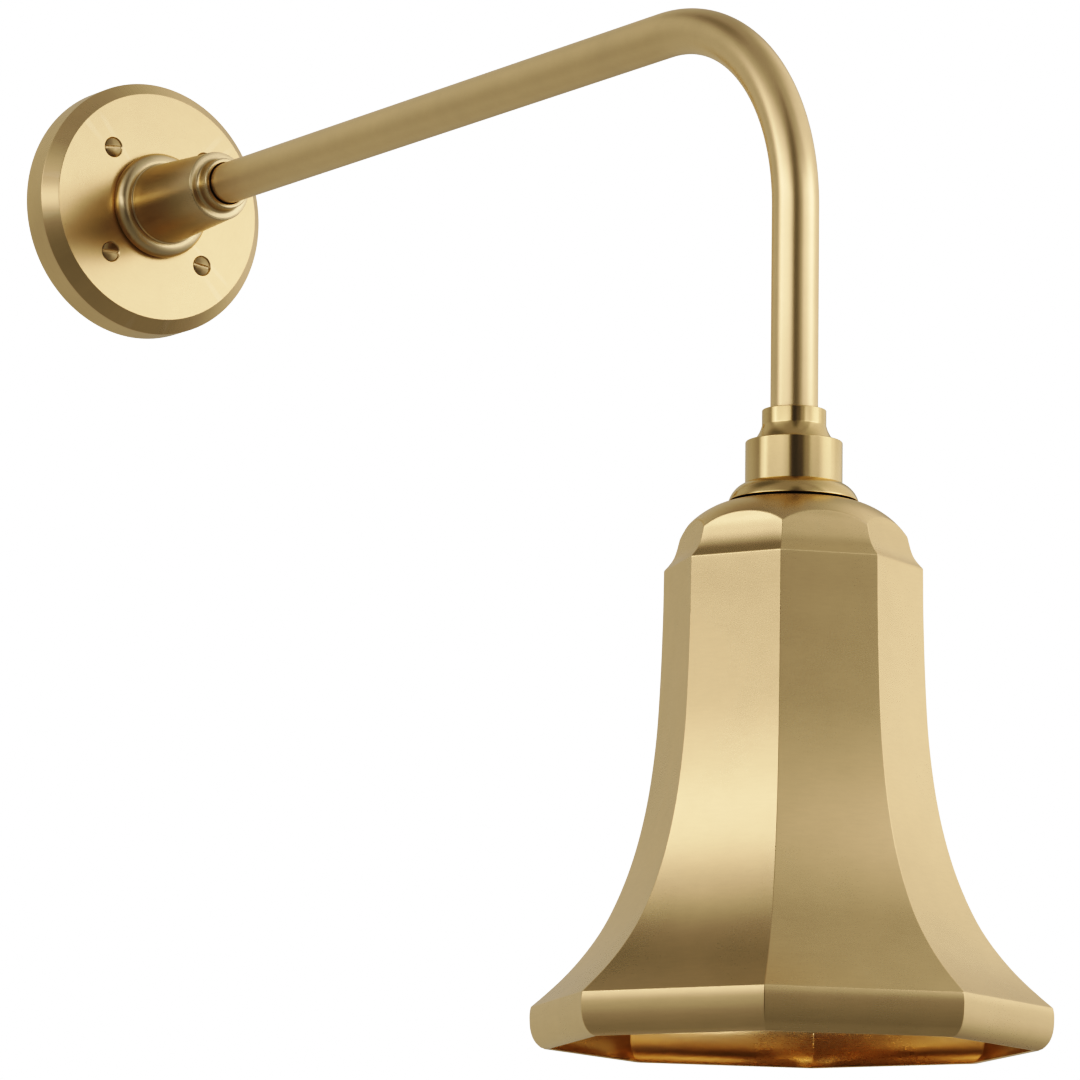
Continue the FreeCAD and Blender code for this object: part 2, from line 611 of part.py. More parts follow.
# terminal screws: their own +Z points into the block
term_one = turned("terminal_screw_blank", [
    (0, 0), (2.6, 0), (3.3, 0.7), (3.3, 1.6), (1.7, 1.6), (1.7, 9.4), (0, 9.4)])
term_slot = prim("Box", "terminal_screw_slot", (-5, -0.45, -1), None, Length=10, Width=0.9, Height=1.8)
term_screw = cut("terminal_screw_one", term_one, [term_slot])
sub_part("terminal_screws", group_of("terminal_screws", term_screw, [
    ((q("block_half_x") * s + 4.0 * s, -REACH, -TERM_DOWN), Rotation(Vector(0, 1, 0), -90 * s))
    for s in (-1, 1)]))

# ------------------------------------------------------------- lamp bulb
bcr = q("bulb_cap_radius")
CAP_FROM = 254.2
crest = []
step = 3.63
for n in range(5):
    d0 = CAP_FROM + 1.4 + step * n
    crest += [(bcr - 0.75, d0), (bcr, d0 + step * 0.5)]
cap_line = [(11.8, CAP_FROM), (bcr - 0.75, CAP_FROM + 0.6)] + crest + [
    (bcr - 0.75, CAP_FROM + 1.4 + step * 5), (bcr - 0.05, CAP_FROM + 20.6),
    (bcr - 0.05, 278.0), (12.1, 278.0), (12.1, CAP_FROM + 2.8), (11.8, CAP_FROM + 2.6)]
sub_part("bulb_cap", turned("bulb_cap", cap_line, **ON_DROP))
sub_part("bulb_insulator", turned("bulb_insulator", [
    (0, 252.2), (4.3, 252.2), (11.6, 254.3), (11.6, 257.0), (0, 257.0)], **ON_DROP))
sub_part("bulb_contact", turned("bulb_contact", [
    (0, 250.9, (2.4, 251.25)), (3.9, 252.2), (0, 252.2)], **ON_DROP))

gb, gc, gt = q("bulb_radius"), q("bulb_centre_down"), q("glass_thick")
ang = math.radians(26.0)


def on_globe(radius, a):
    return (num(gb) - (num(gb) - radius)) * math.cos(a), num(gc) - radius * math.sin(a)


ri = num(gb) - num(gt)
px, pz = num(gb) * math.cos(ang), num(gc) - num(gb) * math.sin(ang)
ix, iz = ri * math.cos(ang), num(gc) - ri * math.sin(ang)
low_a = math.radians(-35)
sub_part("bulb_glass", turned("bulb_glass", [
    (11.2, 268.0), (11.9, 268.0), (11.9, 279.0), (13.5, 281.5, (17.0, 298.6)),
    (px, pz, (num(gb) * math.cos(low_a), num(gc) - num(gb) * math.sin(low_a))),
    (0, gc + gb), (0, gc + gb - gt, (ri * math.cos(low_a), num(gc) - ri * math.sin(low_a))),
    (ix, iz, (16.3, 298.9)), (12.8, 281.7), (11.2, 279.2)], **ON_DROP))
sub_part("bulb_stem", turned("bulb_stem", [
    (0, 270.0), (10.8, 270.0), (10.8, 270.8), (4.2, 276.0), (3.2, 296.0), (1.6, 299.0),
    (1.3, 338.0), (0, 338.0)], **ON_DROP))
filament = doc.addObject("Part::Compound", "bulb_filaments")
rods = []
for i in range(4):
    a = math.radians(45 + 90 * i)
    rods.append(prim("Cylinder", "filament_%d" % (i + 1),
                     (9.0 * math.cos(a), -REACH + 9.0 * math.sin(a), -338.0), None,
                     Radius=0.9, Height=40.0))
filament.Links = rods
sub_part("bulb_filaments", filament)
arms = []
for level, tag in ((-298.0, "top"), (-338.35, "low")):
    pieces = []
    for i in range(4):
        a = 45 + 90 * i
        pieces.append(prim("Box", "filament_arm_%s_%d" % (tag, i + 1),
                           (0, -REACH, level), Rotation(Vector(0, 0, 1), a),
                           Length=9.6, Width=0.5, Height=0.35))
    hub = prim("Cylinder", "filament_hub_%s" % tag, (0, -REACH, level), None,
               Radius=3.8, Height=0.35)
    bore = prim("Cylinder", "filament_hub_bore_%s" % tag, (0, -REACH, level - 1), None,
                Radius=2.5 if tag == "top" else 0.01, Height=3)
    spider = join("filament_spider_%s" % tag, pieces + [hub])
    arms.append(cut("filament_frame_%s" % tag, spider, [bore]) if tag == "top" else spider)
frame = doc.addObject("Part::Compound", "filament_frames")
frame.Links = arms
sub_part("filament_frames", frame)


# ---------------------------------------------------------------- wiring
def rounded_path(points, radii):
    """Straight runs joined by tangent arcs of the given radii."""
    pts = [Vector(*p) for p in points]
    edges = []
    at = pts[0]
    for i in range(1, len(pts) - 1):
        u = (pts[i] - pts[i - 1]).normalize()
        w = (pts[i + 1] - pts[i]).normalize()
        turn = u.getAngle(w)
        t = radii[i - 1] * math.tan(turn / 2)
        a = pts[i] - u * t
        b = pts[i] + w * t
        if (a - at).Length > 1e-6:
            edges.append(Part.LineSegment(at, a).toShape())
        bis = (w - u).normalize()
        centre = pts[i] + bis * (radii[i - 1] / math.cos(turn / 2))
        mid = centre - bis * radii[i - 1]
        edges.append(Part.Arc(a, mid, b).toShape())
        at = b
    edges.append(Part.LineSegment(at, pts[-1]).toShape())
    return Part.Wire(edges)


def lead(name, points, radii, radius):
    wire = rounded_path(points, radii)
    first = Vector(*points[1]) - Vector(*points[0])
    disc = Part.Wire(Part.Circle(Vector(*points[0]), first.normalize(), radius).toShape())
    solid = wire.makePipeShell([disc], True, False)
    obj = doc.addObject("Part::Feature", name)
    obj.Shape = solid
    obj.Placement = Placement(Vector(0, 0, 0), Rotation())
    want = math.pi * radius * radius * wire.Length
    print("lead %s length %.1f volume ratio %.4f radii %s" %
          (name, wire.Length, solid.Volume / want, radii))
    return obj


def cell(alias):
    return float(sheet.get(alias))


wr, wo, wp = cell("wire_radius"), cell("wire_offset"), cell("wire_plane")
co, reach, bendr = cell("connector_offset"), cell("arm_reach"), cell("bend_radius")
for name, s in (("wire_line", 1), ("wire_neutral", -1)):
    sub_part(name, lead(name, [
        (s * co, -wp, 17.0), (s * co, -wp, 0.0), (s * wo, -wp, 0.0), (s * wo, -reach, 0.0),
        (s * wo, -reach, -224.3), (s * 10.65, -reach + s * 2.9, -229.2),
        (s * 10.65, -reach + s * 2.9, -241.0)],
        [7.0, 3.3, bendr, 2.2, 2.2], wr))
sub_part("ground_wire", lead("ground_wire", [
    (0.0, -num(nut_face) + 1.65, -10.4), (0.0, -num(nut_face) + 1.65, -21.0),
    (0.0, -(num(st) + 1.75), -25.5), (0.0, -(num(st) + 1.75), -30.8)], [4.0, 3.0], 0.9))

connector = turned("connector_one", [
    (2.7, 0), (5.2, 0), (5.2, 2.0), (4.9, 2.4), (3.7, 21.0), (2.6, 22.0), (0, 22.0),
    (0, 13.0), (2.7, 12.0)])
sub_part("wire_connectors", group_of("wire_connectors", connector, [
    ((s * q("connector_offset"), -q("wire_plane"), 11.0), Rotation()) for s in (1, -1)]))

# ---------------------------------------------------------------- write out
doc.recompute()
bad = []
for obj in doc.Objects:
    if any(word in obj.State for word in ("Invalid", "Error")):
        bad.append("%s %s" % (obj.Name, obj.State))
for name, obj in KEEP:
    if obj.Shape.isNull() or not obj.Shape.isValid() or not obj.Shape.Solids:
        bad.append("%s has no sound solid" % name)
if bad:
    raise RuntimeError("; ".join(bad))

os.makedirs("parts", exist_ok=True)
for name, obj in KEEP:
    shape = obj.Shape
    shape.exportStep("parts/%s.step" % name)
    b = shape.optimalBoundingBox(False, False)
    print("%-20s solids %d  volume %9.1f  x %.1f %.1f  y %.1f %.1f  z %.1f %.1f" % (
        name, len(shape.Solids), shape.Volume, b.XMin, b.XMax, b.YMin, b.YMax, b.ZMin, b.ZMax))
print("%d sub-parts" % len(KEEP))
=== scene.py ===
import json
import math

import bmesh
import bpy
import numpy as np
from mathutils import Matrix, Vector


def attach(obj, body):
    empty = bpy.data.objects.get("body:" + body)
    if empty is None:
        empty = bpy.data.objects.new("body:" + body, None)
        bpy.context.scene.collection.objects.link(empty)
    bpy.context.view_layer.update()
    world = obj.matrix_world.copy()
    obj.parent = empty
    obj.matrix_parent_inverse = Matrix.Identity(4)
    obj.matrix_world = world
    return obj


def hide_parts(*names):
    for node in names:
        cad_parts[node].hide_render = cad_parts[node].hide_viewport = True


# Gooseneck wall sconce with an octagonal bell shade. Metres, Z up. The wall is
# the plane Y = 0, the arm reaches out along -Y. Profiles below are written in
# millimetres as (radius, height) pairs and turned about one of two axes:
#   "arm"  : height is the distance out from the wall (world -Y)
#   "drop" : height is the distance below the arm's centre line (world -Z)

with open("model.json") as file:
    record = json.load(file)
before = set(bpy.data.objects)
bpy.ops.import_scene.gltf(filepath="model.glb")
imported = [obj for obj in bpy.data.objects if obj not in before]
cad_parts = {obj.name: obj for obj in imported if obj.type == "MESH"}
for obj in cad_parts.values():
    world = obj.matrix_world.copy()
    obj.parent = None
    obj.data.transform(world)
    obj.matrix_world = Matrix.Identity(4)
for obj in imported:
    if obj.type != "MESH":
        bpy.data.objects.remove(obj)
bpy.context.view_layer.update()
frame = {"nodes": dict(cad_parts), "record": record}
nodes = frame["nodes"]
REACH = 513.5
scene = bpy.context.scene


# ------------------------------------------------------------------ mesh kit
def world_from(axis, r, h, a):
    c, s = math.cos(a), math.sin(a)
    if axis == "arm":
        return (r * c * 1e-3, -h * 1e-3, r * s * 1e-3)
    return (r * c * 1e-3, (-REACH + r * s) * 1e-3, -h * 1e-3)


def arc(cx, cy, rad, a0, a1, n):
    """Points of an arc about (cx, cy), angles in degrees, both ends included."""
    out = []
    for i in range(n + 1):
        a = math.radians(a0 + (a1 - a0) * i / n)
        out.append((cx + rad * math.cos(a), cy + rad * math.sin(a)))
    return out


def arc_through(p, m, q, n):
    """Points of the arc from p to q that passes through m."""
    (x1, y1), (x2, y2), (x3, y3) = p, m, q
    d = 2 * (x1 * (y2 - y3) + x2 * (y3 - y1) + x3 * (y1 - y2))
    ux = ((x1 ** 2 + y1 ** 2) * (y2 - y3) + (x2 ** 2 + y2 ** 2) * (y3 - y1) + (x3 ** 2 + y3 ** 2) * (y1 - y2)) / d
    uy = ((x1 ** 2 + y1 ** 2) * (x3 - x2) + (x2 ** 2 + y2 ** 2) * (x1 - x3) + (x3 ** 2 + y3 ** 2) * (x2 - x1)) / d
    rad = math.hypot(x1 - ux, y1 - uy)
    a1 = math.atan2(y1 - uy, x1 - ux)
    am = math.atan2(y2 - uy, x2 - ux)
    a3 = math.atan2(y3 - uy, x3 - ux)
    turn = (a3 - a1) % (2 * math.pi)
    if (am - a1) % (2 * math.pi) > turn:
        turn -= 2 * math.pi
    return [(ux + rad * math.cos(a1 + turn * i / n), uy + rad * math.sin(a1 + turn * i / n)) for i in range(n + 1)]


def eased(points, radii, steps=5, closed=True):
    """A polyline whose corners are rounded. radii maps a corner's index to its
    fillet radius; the others stay as they are."""
    out = []
    n = len(points)
    for i, p in enumerate(points):
        r = radii.get(i, 0.0)
        if r <= 0 or (not closed and i in (0, n - 1)):
            out.append(p)
            continue
        a, b = Vector(points[i - 1]), Vector(points[(i + 1) % n])
        c = Vector(p)
        u, w = (a - c).normalized(), (b - c).normalized()
        half = u.angle(w) / 2
        t = r / math.tan(half)
        t = min(t, (a - c).length * 0.49, (b - c).length * 0.49)
        r = t * math.tan(half)
        centre = c + (u + w).normalized() * (r / math.sin(half))
        s, e = c + u * t - centre, c + w * t - centre
        a0 = math.atan2(s.y, s.x)
        turn = (math.atan2(e.y, e.x) - a0 + math.pi) % (2 * math.pi) - math.pi
        for k in range(steps + 1):
            ang = a0 + turn * k / steps
            out.append((centre.x + r * math.cos(ang), centre.y + r * math.sin(ang)))
    return out


def put(name, verts, faces, material=None, smooth=True):
    mesh = bpy.data.meshes.new(name)
    mesh.from_pydata(verts, [], faces)
    mesh.validate()
    bm = bmesh.new()
    bm.from_mesh(mesh)
    bmesh.ops.remove_doubles(bm, verts=bm.verts, dist=1e-7)
    bmesh.ops.recalc_face_normals(bm, faces=bm.faces)
    bm.to_mesh(mesh)
    bm.free()
    obj = bpy.data.objects.new(name, mesh)
    scene.collection.objects.link(obj)
    if smooth:
        mesh.polygons.foreach_set("use_smooth", [True] * len(mesh.polygons))
    return obj


def weigh(obj, sharp=None):
    """Shading that keeps flats flat beside small fillets."""
    if sharp is not None:
        bm = bmesh.new()
        bm.from_mesh(obj.data)
        limit = math.radians(sharp)
        for e in bm.edges:
            if len(e.link_faces) != 2 or e.calc_face_angle(0.0) > limit:
                e.smooth = False
        bm.to_mesh(obj.data)
        bm.free()
    m = obj.modifiers.new("weights", "WEIGHTED_NORMAL")
    m.mode = "FACE_AREA"
    m.weight = 50
    m.keep_sharp = True
    return obj


def lathe(name, profile, axis, segments=192, at=(0.0, 0.0), shift=0.0):
    """Turns a closed (radius, height) outline; a radius of 0 closes on the
    axis. 'at' moves the axis sideways on the wall plate (x, z in mm)."""
    prof = []
    for p in profile:
        if not prof or math.hypot(p[0] - prof[-1][0], p[1] - prof[-1][1]) > 1e-5:
            prof.append(p)
    if math.hypot(prof[0][0] - prof[-1][0], prof[0][1] - prof[-1][1]) < 1e-5:
        prof.pop()
    verts, index = [], []
    for r, h in prof:
        if r < 1e-9:
            index.append([len(verts)] * segments)
            verts.append(world_from(axis, 0.0, h, 0.0))
        else:
            index.append(list(range(len(verts), len(verts) + segments)))
            verts += [world_from(axis, r, h, 2 * math.pi * (k / segments) + shift) for k in range(segments)]
    faces = []
    n = len(prof)
    for i in range(n):
        j = (i + 1) % n
        if prof[i][0] < 1e-9 and prof[j][0] < 1e-9:
            continue
        for k in range(segments):
            l = (k + 1) % segments
            quad = [index[i][k], index[i][l], index[j][l], index[j][k]]
            face = []
            for v in quad:
                if v not in face:
                    face.append(v)
            if len(face) > 2:
                faces.append(face)
    if at != (0.0, 0.0):
        verts = [(x + at[0] * 1e-3, y, z + at[1] * 1e-3) for x, y, z in verts]
    return put(name, verts, faces)


def carve(obj, tools, solver="EXACT"):
    """Cuts the tools out of obj and leaves a plain mesh."""
    for t in tools:
        m = obj.modifiers.new("cut", "BOOLEAN")
        m.operation = "DIFFERENCE"
        m.solver = solver
        m.object = t
    bpy.context.view_layer.update()
    done = bpy.data.meshes.new_from_object(obj.evaluated_get(bpy.context.evaluated_depsgraph_get()))
    obj.modifiers.clear()
    old = obj.data
    obj.data = done
    done.name = old.name
    bpy.data.meshes.remove(old)
    for t in tools:
        bpy.data.objects.remove(t)
    done.polygons.foreach_set("use_smooth", [True] * len(done.polygons))
    return obj


def bake_down(obj):
    """Applies the modifiers so far."""
    bpy.context.view_layer.update()
    done = bpy.data.meshes.new_from_object(obj.evaluated_get(bpy.context.evaluated_depsgraph_get()))
    obj.modifiers.clear()
    old = obj.data
    obj.data = done
    bpy.data.meshes.remove(old)
    return obj


def merge(name, objs):
    """One object from several meshes that share materials by slot number."""
    bm = bmesh.new()
    for o in objs:
        bm.from_mesh(o.data)
    mesh = bpy.data.meshes.new(name)
    bm.to_mesh(mesh)
    bm.free()
    for o in objs:
        bpy.data.objects.remove(o)
    obj = bpy.data.objects.new(name, mesh)
    scene.collection.objects.link(obj)
    return obj


def stands_for(obj, body, slot, *names):
    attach(obj, body)
    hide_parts(*names)
    return obj


# ---------------------------------------------------------------- wall plate
plate = lathe("plate_turned", eased([
    (57.9, 0.0), (60.5, 0.0), (60.5, 13.76), (54.45, 19.85), (5.2, 19.85),
    (5.2, 16.65), (53.0, 16.65), (57.9, 11.76)],
    {0: 0.3, 1: 0.45, 2: 0.55, 3: 0.4, 4: 0.3, 6: 1.2, 7: 1.2}), "arm", 320)
SCREW_AT = []
for deg in (45, 135, 225, 315):
    a = math.radians(deg)
    SCREW_AT.append((35.73 * math.cos(a), 35.73 * math.sin(a)))
sink_foot = 19.85 - (4.95 - 2.3) * 1.1504
sink_line = eased([(0.0, 21.0), (6.1, 21.0), (4.95, 19.85), (2.3, sink_foot), (2.3, 12.0), (0.0, 12.0)],
                  {2: 0.35, 3: 0.3}, closed=False)
sinks = [lathe("sink_%d" % i, sink_line, "arm", 64, at) for i, at in enumerate(SCREW_AT)]
carve(plate, sinks)
plate.name = "plate_turned"
weigh(plate, 50)
stands_for(plate, "fixture", "satin_brass", "wall_plate")

# ------------------------------------------------------------- plate screws
HEAD_R, RIM, DOME = 4.5, 19.45, 0.9
ball = (HEAD_R ** 2 + DOME ** 2) / (2 * DOME)
crown = []
for i in range(13):
    r = HEAD_R * (1 - i / 12.0)
    crown.append((r, RIM + DOME - ball + math.sqrt(max(ball ** 2 - r * r, 0.0))))
cone_foot = RIM - (HEAD_R - 2.05) * 1.1504
screw_line = [(0.0, 6.0), (1.55, 6.0), (2.05, 6.6), (2.05, cone_foot), (4.38, RIM - 0.12), (4.5, RIM)] + crown[1:]
SLOT_TURN = (-20, -6, 0, 8)
heads = []
for i, at in enumerate(SCREW_AT):
    head = lathe("head_%d" % i, screw_line, "arm", 72, at)
    bm = bmesh.new()
    bmesh.ops.create_cube(bm, size=1.0)
    bmesh.ops.scale(bm, vec=(0.020, 0.004, 0.00135), verts=bm.verts)
    slot_mesh = bpy.data.meshes.new("slot")
    bm.to_mesh(slot_mesh)
    bm.free()
    tool = bpy.data.objects.new("slot", slot_mesh)
    scene.collection.objects.link(tool)
    tool.matrix_world = (Matrix.Translation((at[0] * 1e-3, -(19.05 + 2.0) * 1e-3, at[1] * 1e-3))
                         @ Matrix.Rotation(math.radians(SLOT_TURN[i]), 4, "Y"))
    carve(head, [tool])
    b = head.modifiers.new("ease", "BEVEL")
    b.width = 0.00009
    b.segments = 2
    b.limit_method = "ANGLE"
    b.angle_limit = math.radians(38)
    bake_down(head)
    heads.append(head)
screws = merge("screws_slotted", heads)
weigh(screws, 45)
stands_for(screws, "fixture", "screw_brass", "plate_screws")

# ------------------------------------------------------------- bead and boss
foot = math.sqrt(4.6 ** 2 - (22.7 - 19.85) ** 2)
a_foot = math.degrees(math.atan2(19.85 - 22.7, foot))
bead = lathe("bead_turned", [(15.2, 19.85)] + arc(20.4, 22.7, 4.6, a_foot, 90, 28) + [(15.2, 27.3)], "arm", 256)
weigh(bead, 50)
stands_for(bead, "fixture", "satin_brass", "boss_bead")

boss_line = [(5.2, 19.85), (15.1, 19.85), (15.1, 27.3)]
boss_line += eased([(15.1, 27.3), (19.5, 27.3), (19.5, 27.8), (18.86, 28.1), (16.2, 74.2)],
                   {1: 0.18, 2: 0.2, 3: 0.12}, 4, closed=False)[1:-1]
boss_line += arc_through((16.2, 74.2), (16.08, 74.62), (15.7, 74.8), 6)
boss_line += arc_through((15.7, 74.8), (15.3, 74.95), (14.7, 75.0), 3)[1:]
boss_line += arc_through((13.6, 75.1), (12.55, 75.45), (12.05, 76.5), 8)
boss_line += arc_through((11.95, 81.3), (11.77, 81.73), (11.35, 81.9), 6)
boss_line += eased([(11.35, 81.9), (9.98, 81.9), (9.98, 80.4), (9.62, 80.05), (9.62, 50.0), (5.2, 50.0), (5.2, 19.85)],
                   {1: 0.15}, 4, closed=False)[1:-1]
boss = lathe("boss_turned", boss_line, "arm", 256)
weigh(boss, 42)
stands_for(boss, "fixture", "satin_brass", "arm_boss")

# -------------------------------------------------------------------- the arm
def arm_frame(s, bend=89.0, start=50.0, end=190.0):
    """Point and forward direction of the arm's centre line."""
    run = REACH - bend - start
    quarter = bend * math.pi / 2
    if s <= run:
        return (start + s, 0.0), (1.0, 0.0)
    if s <= run + quarter:
        a = (s - run) / bend
        return (REACH - bend + bend * math.sin(a), bend - bend * math.cos(a)), (math.cos(a), math.sin(a))
    d = s - run - quarter
    return (REACH, bend + d), (0.0, 1.0)


def arm_mesh(segments=160):
    bend, start, end = 89.0, 50.0, 190.0
    run = REACH - bend - start
    quarter = bend * math.pi / 2
    stations = [run * i / 60.0 for i in range(60)]
    stations += [run + quarter * i / 72.0 for i in range(72)]
    stations += [run + quarter + (end - bend) * i / 20.0 for i in range(21)]
    verts, faces, rings = [], [], []
    for rad in (9.525, 8.325):
        loops = []
        for s in stations:
            (out, down), (fo, fd) = arm_frame(s)
            loop = []
            for k in range(segments):
                a = 2 * math.pi * k / segments
                # in-plane side is (fd, -fo) in (out, down), the other is world X
                so, sd = fd * math.cos(a) * rad, -fo * math.cos(a) * rad
                loop.append(len(verts))
                verts.append((rad * math.sin(a) * 1e-3, -(out + so) * 1e-3, -(down + sd) * 1e-3))
            loops.append(loop)
        rings.append(loops)
    for loops in rings:
        for a, b in zip(loops[:-1], loops[1:]):
            for k in range(segments):
                l = (k + 1) % segments
                faces.append((a[k], a[l], b[l], b[k]))
    for e in (0, -1):
        a, b = rings[0][e], rings[1][e]
        for k in range(segments):
            l = (k + 1) % segments
            faces.append((a[k], a[l], b[l], b[k]))
    return put("arm_bent", verts, faces)


arm = arm_mesh()
weigh(arm, 50)
stands_for(arm, "fixture", "satin_brass", "arm_tube")

# --------------------------------------------------- collar and shade holder
collar_line = [(9.62, 172.4)]
collar_line += eased([(9.62, 172.4), (12.85, 172.4), (12.85, 178.6)], {1: 0.38}, 5, closed=False)[1:-1]
collar_line += arc_through((12.85, 178.6), (14.05, 181.9), (16.55, 185.3), 16)
collar_line += eased([(16.55, 185.3), (19.4, 185.3), (19.4, 202.3)], {1: 0.5}, 5, closed=False)[1:-1]
collar_line += [(19.4, 202.3), (5.2, 202.3), (5.2, 190.0), (9.62, 190.0)]
collar = lathe("collar_turned", collar_line, "drop", 256)
weigh(collar, 42)
stands_for(collar, "fixture", "satin_brass", "lamp_collar")

holder_line = [(5.2, 202.3)] + arc_through((19.5, 202.3), (23.5, 205.1), (25.85, 209.3), 16)
holder_line += arc_through((25.85, 209.3), (25.81, 209.5), (25.6, 209.6), 4)[1:] + [(5.2, 209.6)]
holder = lathe("holder_turned", holder_line, "drop", 256)
weigh(holder, 42)
stands_for(holder, "fixture", "satin_brass", "shade_holder")

# --------------------------------------------------------------------- shade
FLANK = [(204.0, 44.45), (212.0, 44.55), (219.0, 44.80), (223.0, 45.20),
         (226.5, 46.00), (229.6, 46.85), (232.4, 48.05), (234.6, 49.65),
         (236.7, 51.60)]
BELL = [(236.7, 51.60), (243.0, 51.66), (252.0, 51.74), (262.0, 51.96),
        (274.0, 52.32), (288.0, 52.92), (302.0, 53.78), (316.0, 55.25),
        (330.0, 57.38), (344.0, 60.45), (357.0, 64.35), (369.0, 69.15),
        (380.0, 74.85), (390.0, 81.95), (398.5, 89.50), (405.0, 96.45),
        (410.3, 102.65)]
BAND = [(410.3, 102.65), (413.0, 103.10), (416.0, 103.08), (419.0, 102.80),
        (421.6, 102.10), (423.8, 101.00), (425.6, 99.35), (427.0, 97.40)]
WALL = 1.3
APO = math.cos(math.radians(22.5))


def natural(rows):
    """A cubic through the rows, as chord-length parametric curves."""
    p = np.array([(r, d) for d, r in rows], float)
    t = np.concatenate([[0], np.cumsum(np.hypot(*np.diff(p, axis=0).T))])
    n = len(t)
    m = np.zeros((n, 2))
    h = np.diff(t)
    A = np.zeros((n, n))
    B = np.zeros((n, 2))
    A[0, 0] = 1.0
    A[0, 1] = -1.0
    A[-1, -1] = 1.0
    A[-1, -2] = -1.0
    for i in range(1, n - 1):
        A[i, i - 1], A[i, i], A[i, i + 1] = h[i - 1], 2 * (h[i - 1] + h[i]), h[i]
        B[i] = 6 * ((p[i + 1] - p[i]) / h[i] - (p[i] - p[i - 1]) / h[i - 1])
    m = np.linalg.solve(A, B)

    def at(u):
        u = min(max(u, 0.0), 1.0) * t[-1]
        i = min(int(np.searchsorted(t, u, side="right")) - 1, n - 2)
        a, b = t[i + 1] - u, u - t[i]
        return ((m[i] * a ** 3 + m[i + 1] * b ** 3) / (6 * h[i])
                + (p[i] / h[i] - m[i] * h[i] / 6) * a + (p[i + 1] / h[i] - m[i + 1] * h[i] / 6) * b)
    return at, t[-1]


def dense(rows, step):
    at, length = natural(rows)
    n = max(int(round(length / step)), 4)
    return [tuple(at(i / n)) for i in range(n + 1)]


def offset_in(line, wall):
    """The meridian moved inwards by the wall, measured across a facet."""
    out = []
    n = len(line)
    for i, (r, d) in enumerate(line):
        a, b = line[max(i - 1, 0)], line[min(i + 1, n - 1)]
        slope = (b[0] - a[0]) * APO / max(b[1] - a[1], 1e-6)
        slope = max(min(slope, 3.2), -3.2)
        out.append((r - wall * math.sqrt(1 + slope * slope) / APO, d))
    return out


def columns(facet_cells, corner_cells, ease):
    """Unit directions round the octagon with small rounded corners. Corners
    are at 0, 45, 90... degrees; a direction is (cos, sin) * relative radius."""
    out = []
    t = ease * math.tan(math.radians(22.5))
    for k in range(8):
        a = math.radians(45 * k)
        c = Vector((math.cos(a), math.sin(a)))
        to_next = (Vector((math.cos(a + math.pi / 4), math.sin(a + math.pi / 4))) - c).normalized()
        to_prev = (Vector((math.cos(a - math.pi / 4), math.sin(a - math.pi / 4))) - c).normalized()
        centre = c * (1 - ease / APO)
        start, end = c + to_prev * t, c + to_next * t
        a0 = math.atan2(*(start - centre).yx)
        turn = (math.atan2(*(end - centre).yx) - a0 + math.pi) % (2 * math.pi) - math.pi
        for i in range(corner_cells + 1):
            ang = a0 + turn * i / corner_cells
            out.append(centre + Vector((math.cos(ang), math.sin(ang))) * ease)
        nxt = Vector((math.cos(a + math.pi / 4), math.sin(a + math.pi / 4)))
        stop = nxt - to_next * t
        for i in range(1, facet_cells):
            f = i / facet_cells
            out.append(end.lerp(stop, f))
    return out


def dome_radius(d, shrink):
    h = 243.2 - d
    v = (33.95 - shrink) ** 2 - h * h
    return 17.4 + math.sqrt(v) if v > 0 else 17.4


def shade_meridian(u, flank, bell, band, shrink, top, ease, counts):
    """The line down one side in direction u (relative radius of the octagon):
    along the dome until it meets the facet, then the flank, bell and band."""
    # where the dome and the flank cross
    lo, hi = top, 236.0
    fl_r = [p[0] for p in flank]
    fl_d = [p[1] for p in flank]

    def gap(d):
        return dome_radius(d, shrink) - np.interp(d, fl_d, fl_r) * u
    for _ in range(50):
        mid = (lo + hi) / 2
        if gap(mid) > 0:
            hi = mid
        else:
            lo = mid
    cross = (lo + hi) / 2
    n_dome, n_flank, n_bell, n_band = counts
    r_top = dome_radius(top, shrink)
    a_top = math.atan2(243.2 - top, r_top - 17.4)
    a_cross = math.atan2(243.2 - cross, dome_radius(cross, shrink) - 17.4)
    rad = 33.95 - shrink
    dome = [(17.4 + rad * math.cos(a_top + (a_cross - a_top) * i / 60.0),
             243.2 - rad * math.sin(a_top + (a_cross - a_top) * i / 60.0)) for i in range(61)]
    fl_end = flank[-1][1]
    flat = [(float(np.interp(cross + (fl_end - cross) * i / 60.0, fl_d, fl_r)) * u,
             cross + (fl_end - cross) * i / 60.0) for i in range(61)]
    bl = [(r * u, d) for r, d in bell]
    bd = [(r * u, d) for r, d in band]
    return dome, flat, bl, bd


def resample(line, n):
    p = np.array(line, float)
    t = np.concatenate([[0], np.cumsum(np.hypot(*np.diff(p, axis=0).T))])
    u = np.linspace(0, t[-1], n + 1)
    return [(float(np.interp(x, t, p[:, 0])), float(np.interp(x, t, p[:, 1]))) for x in u]


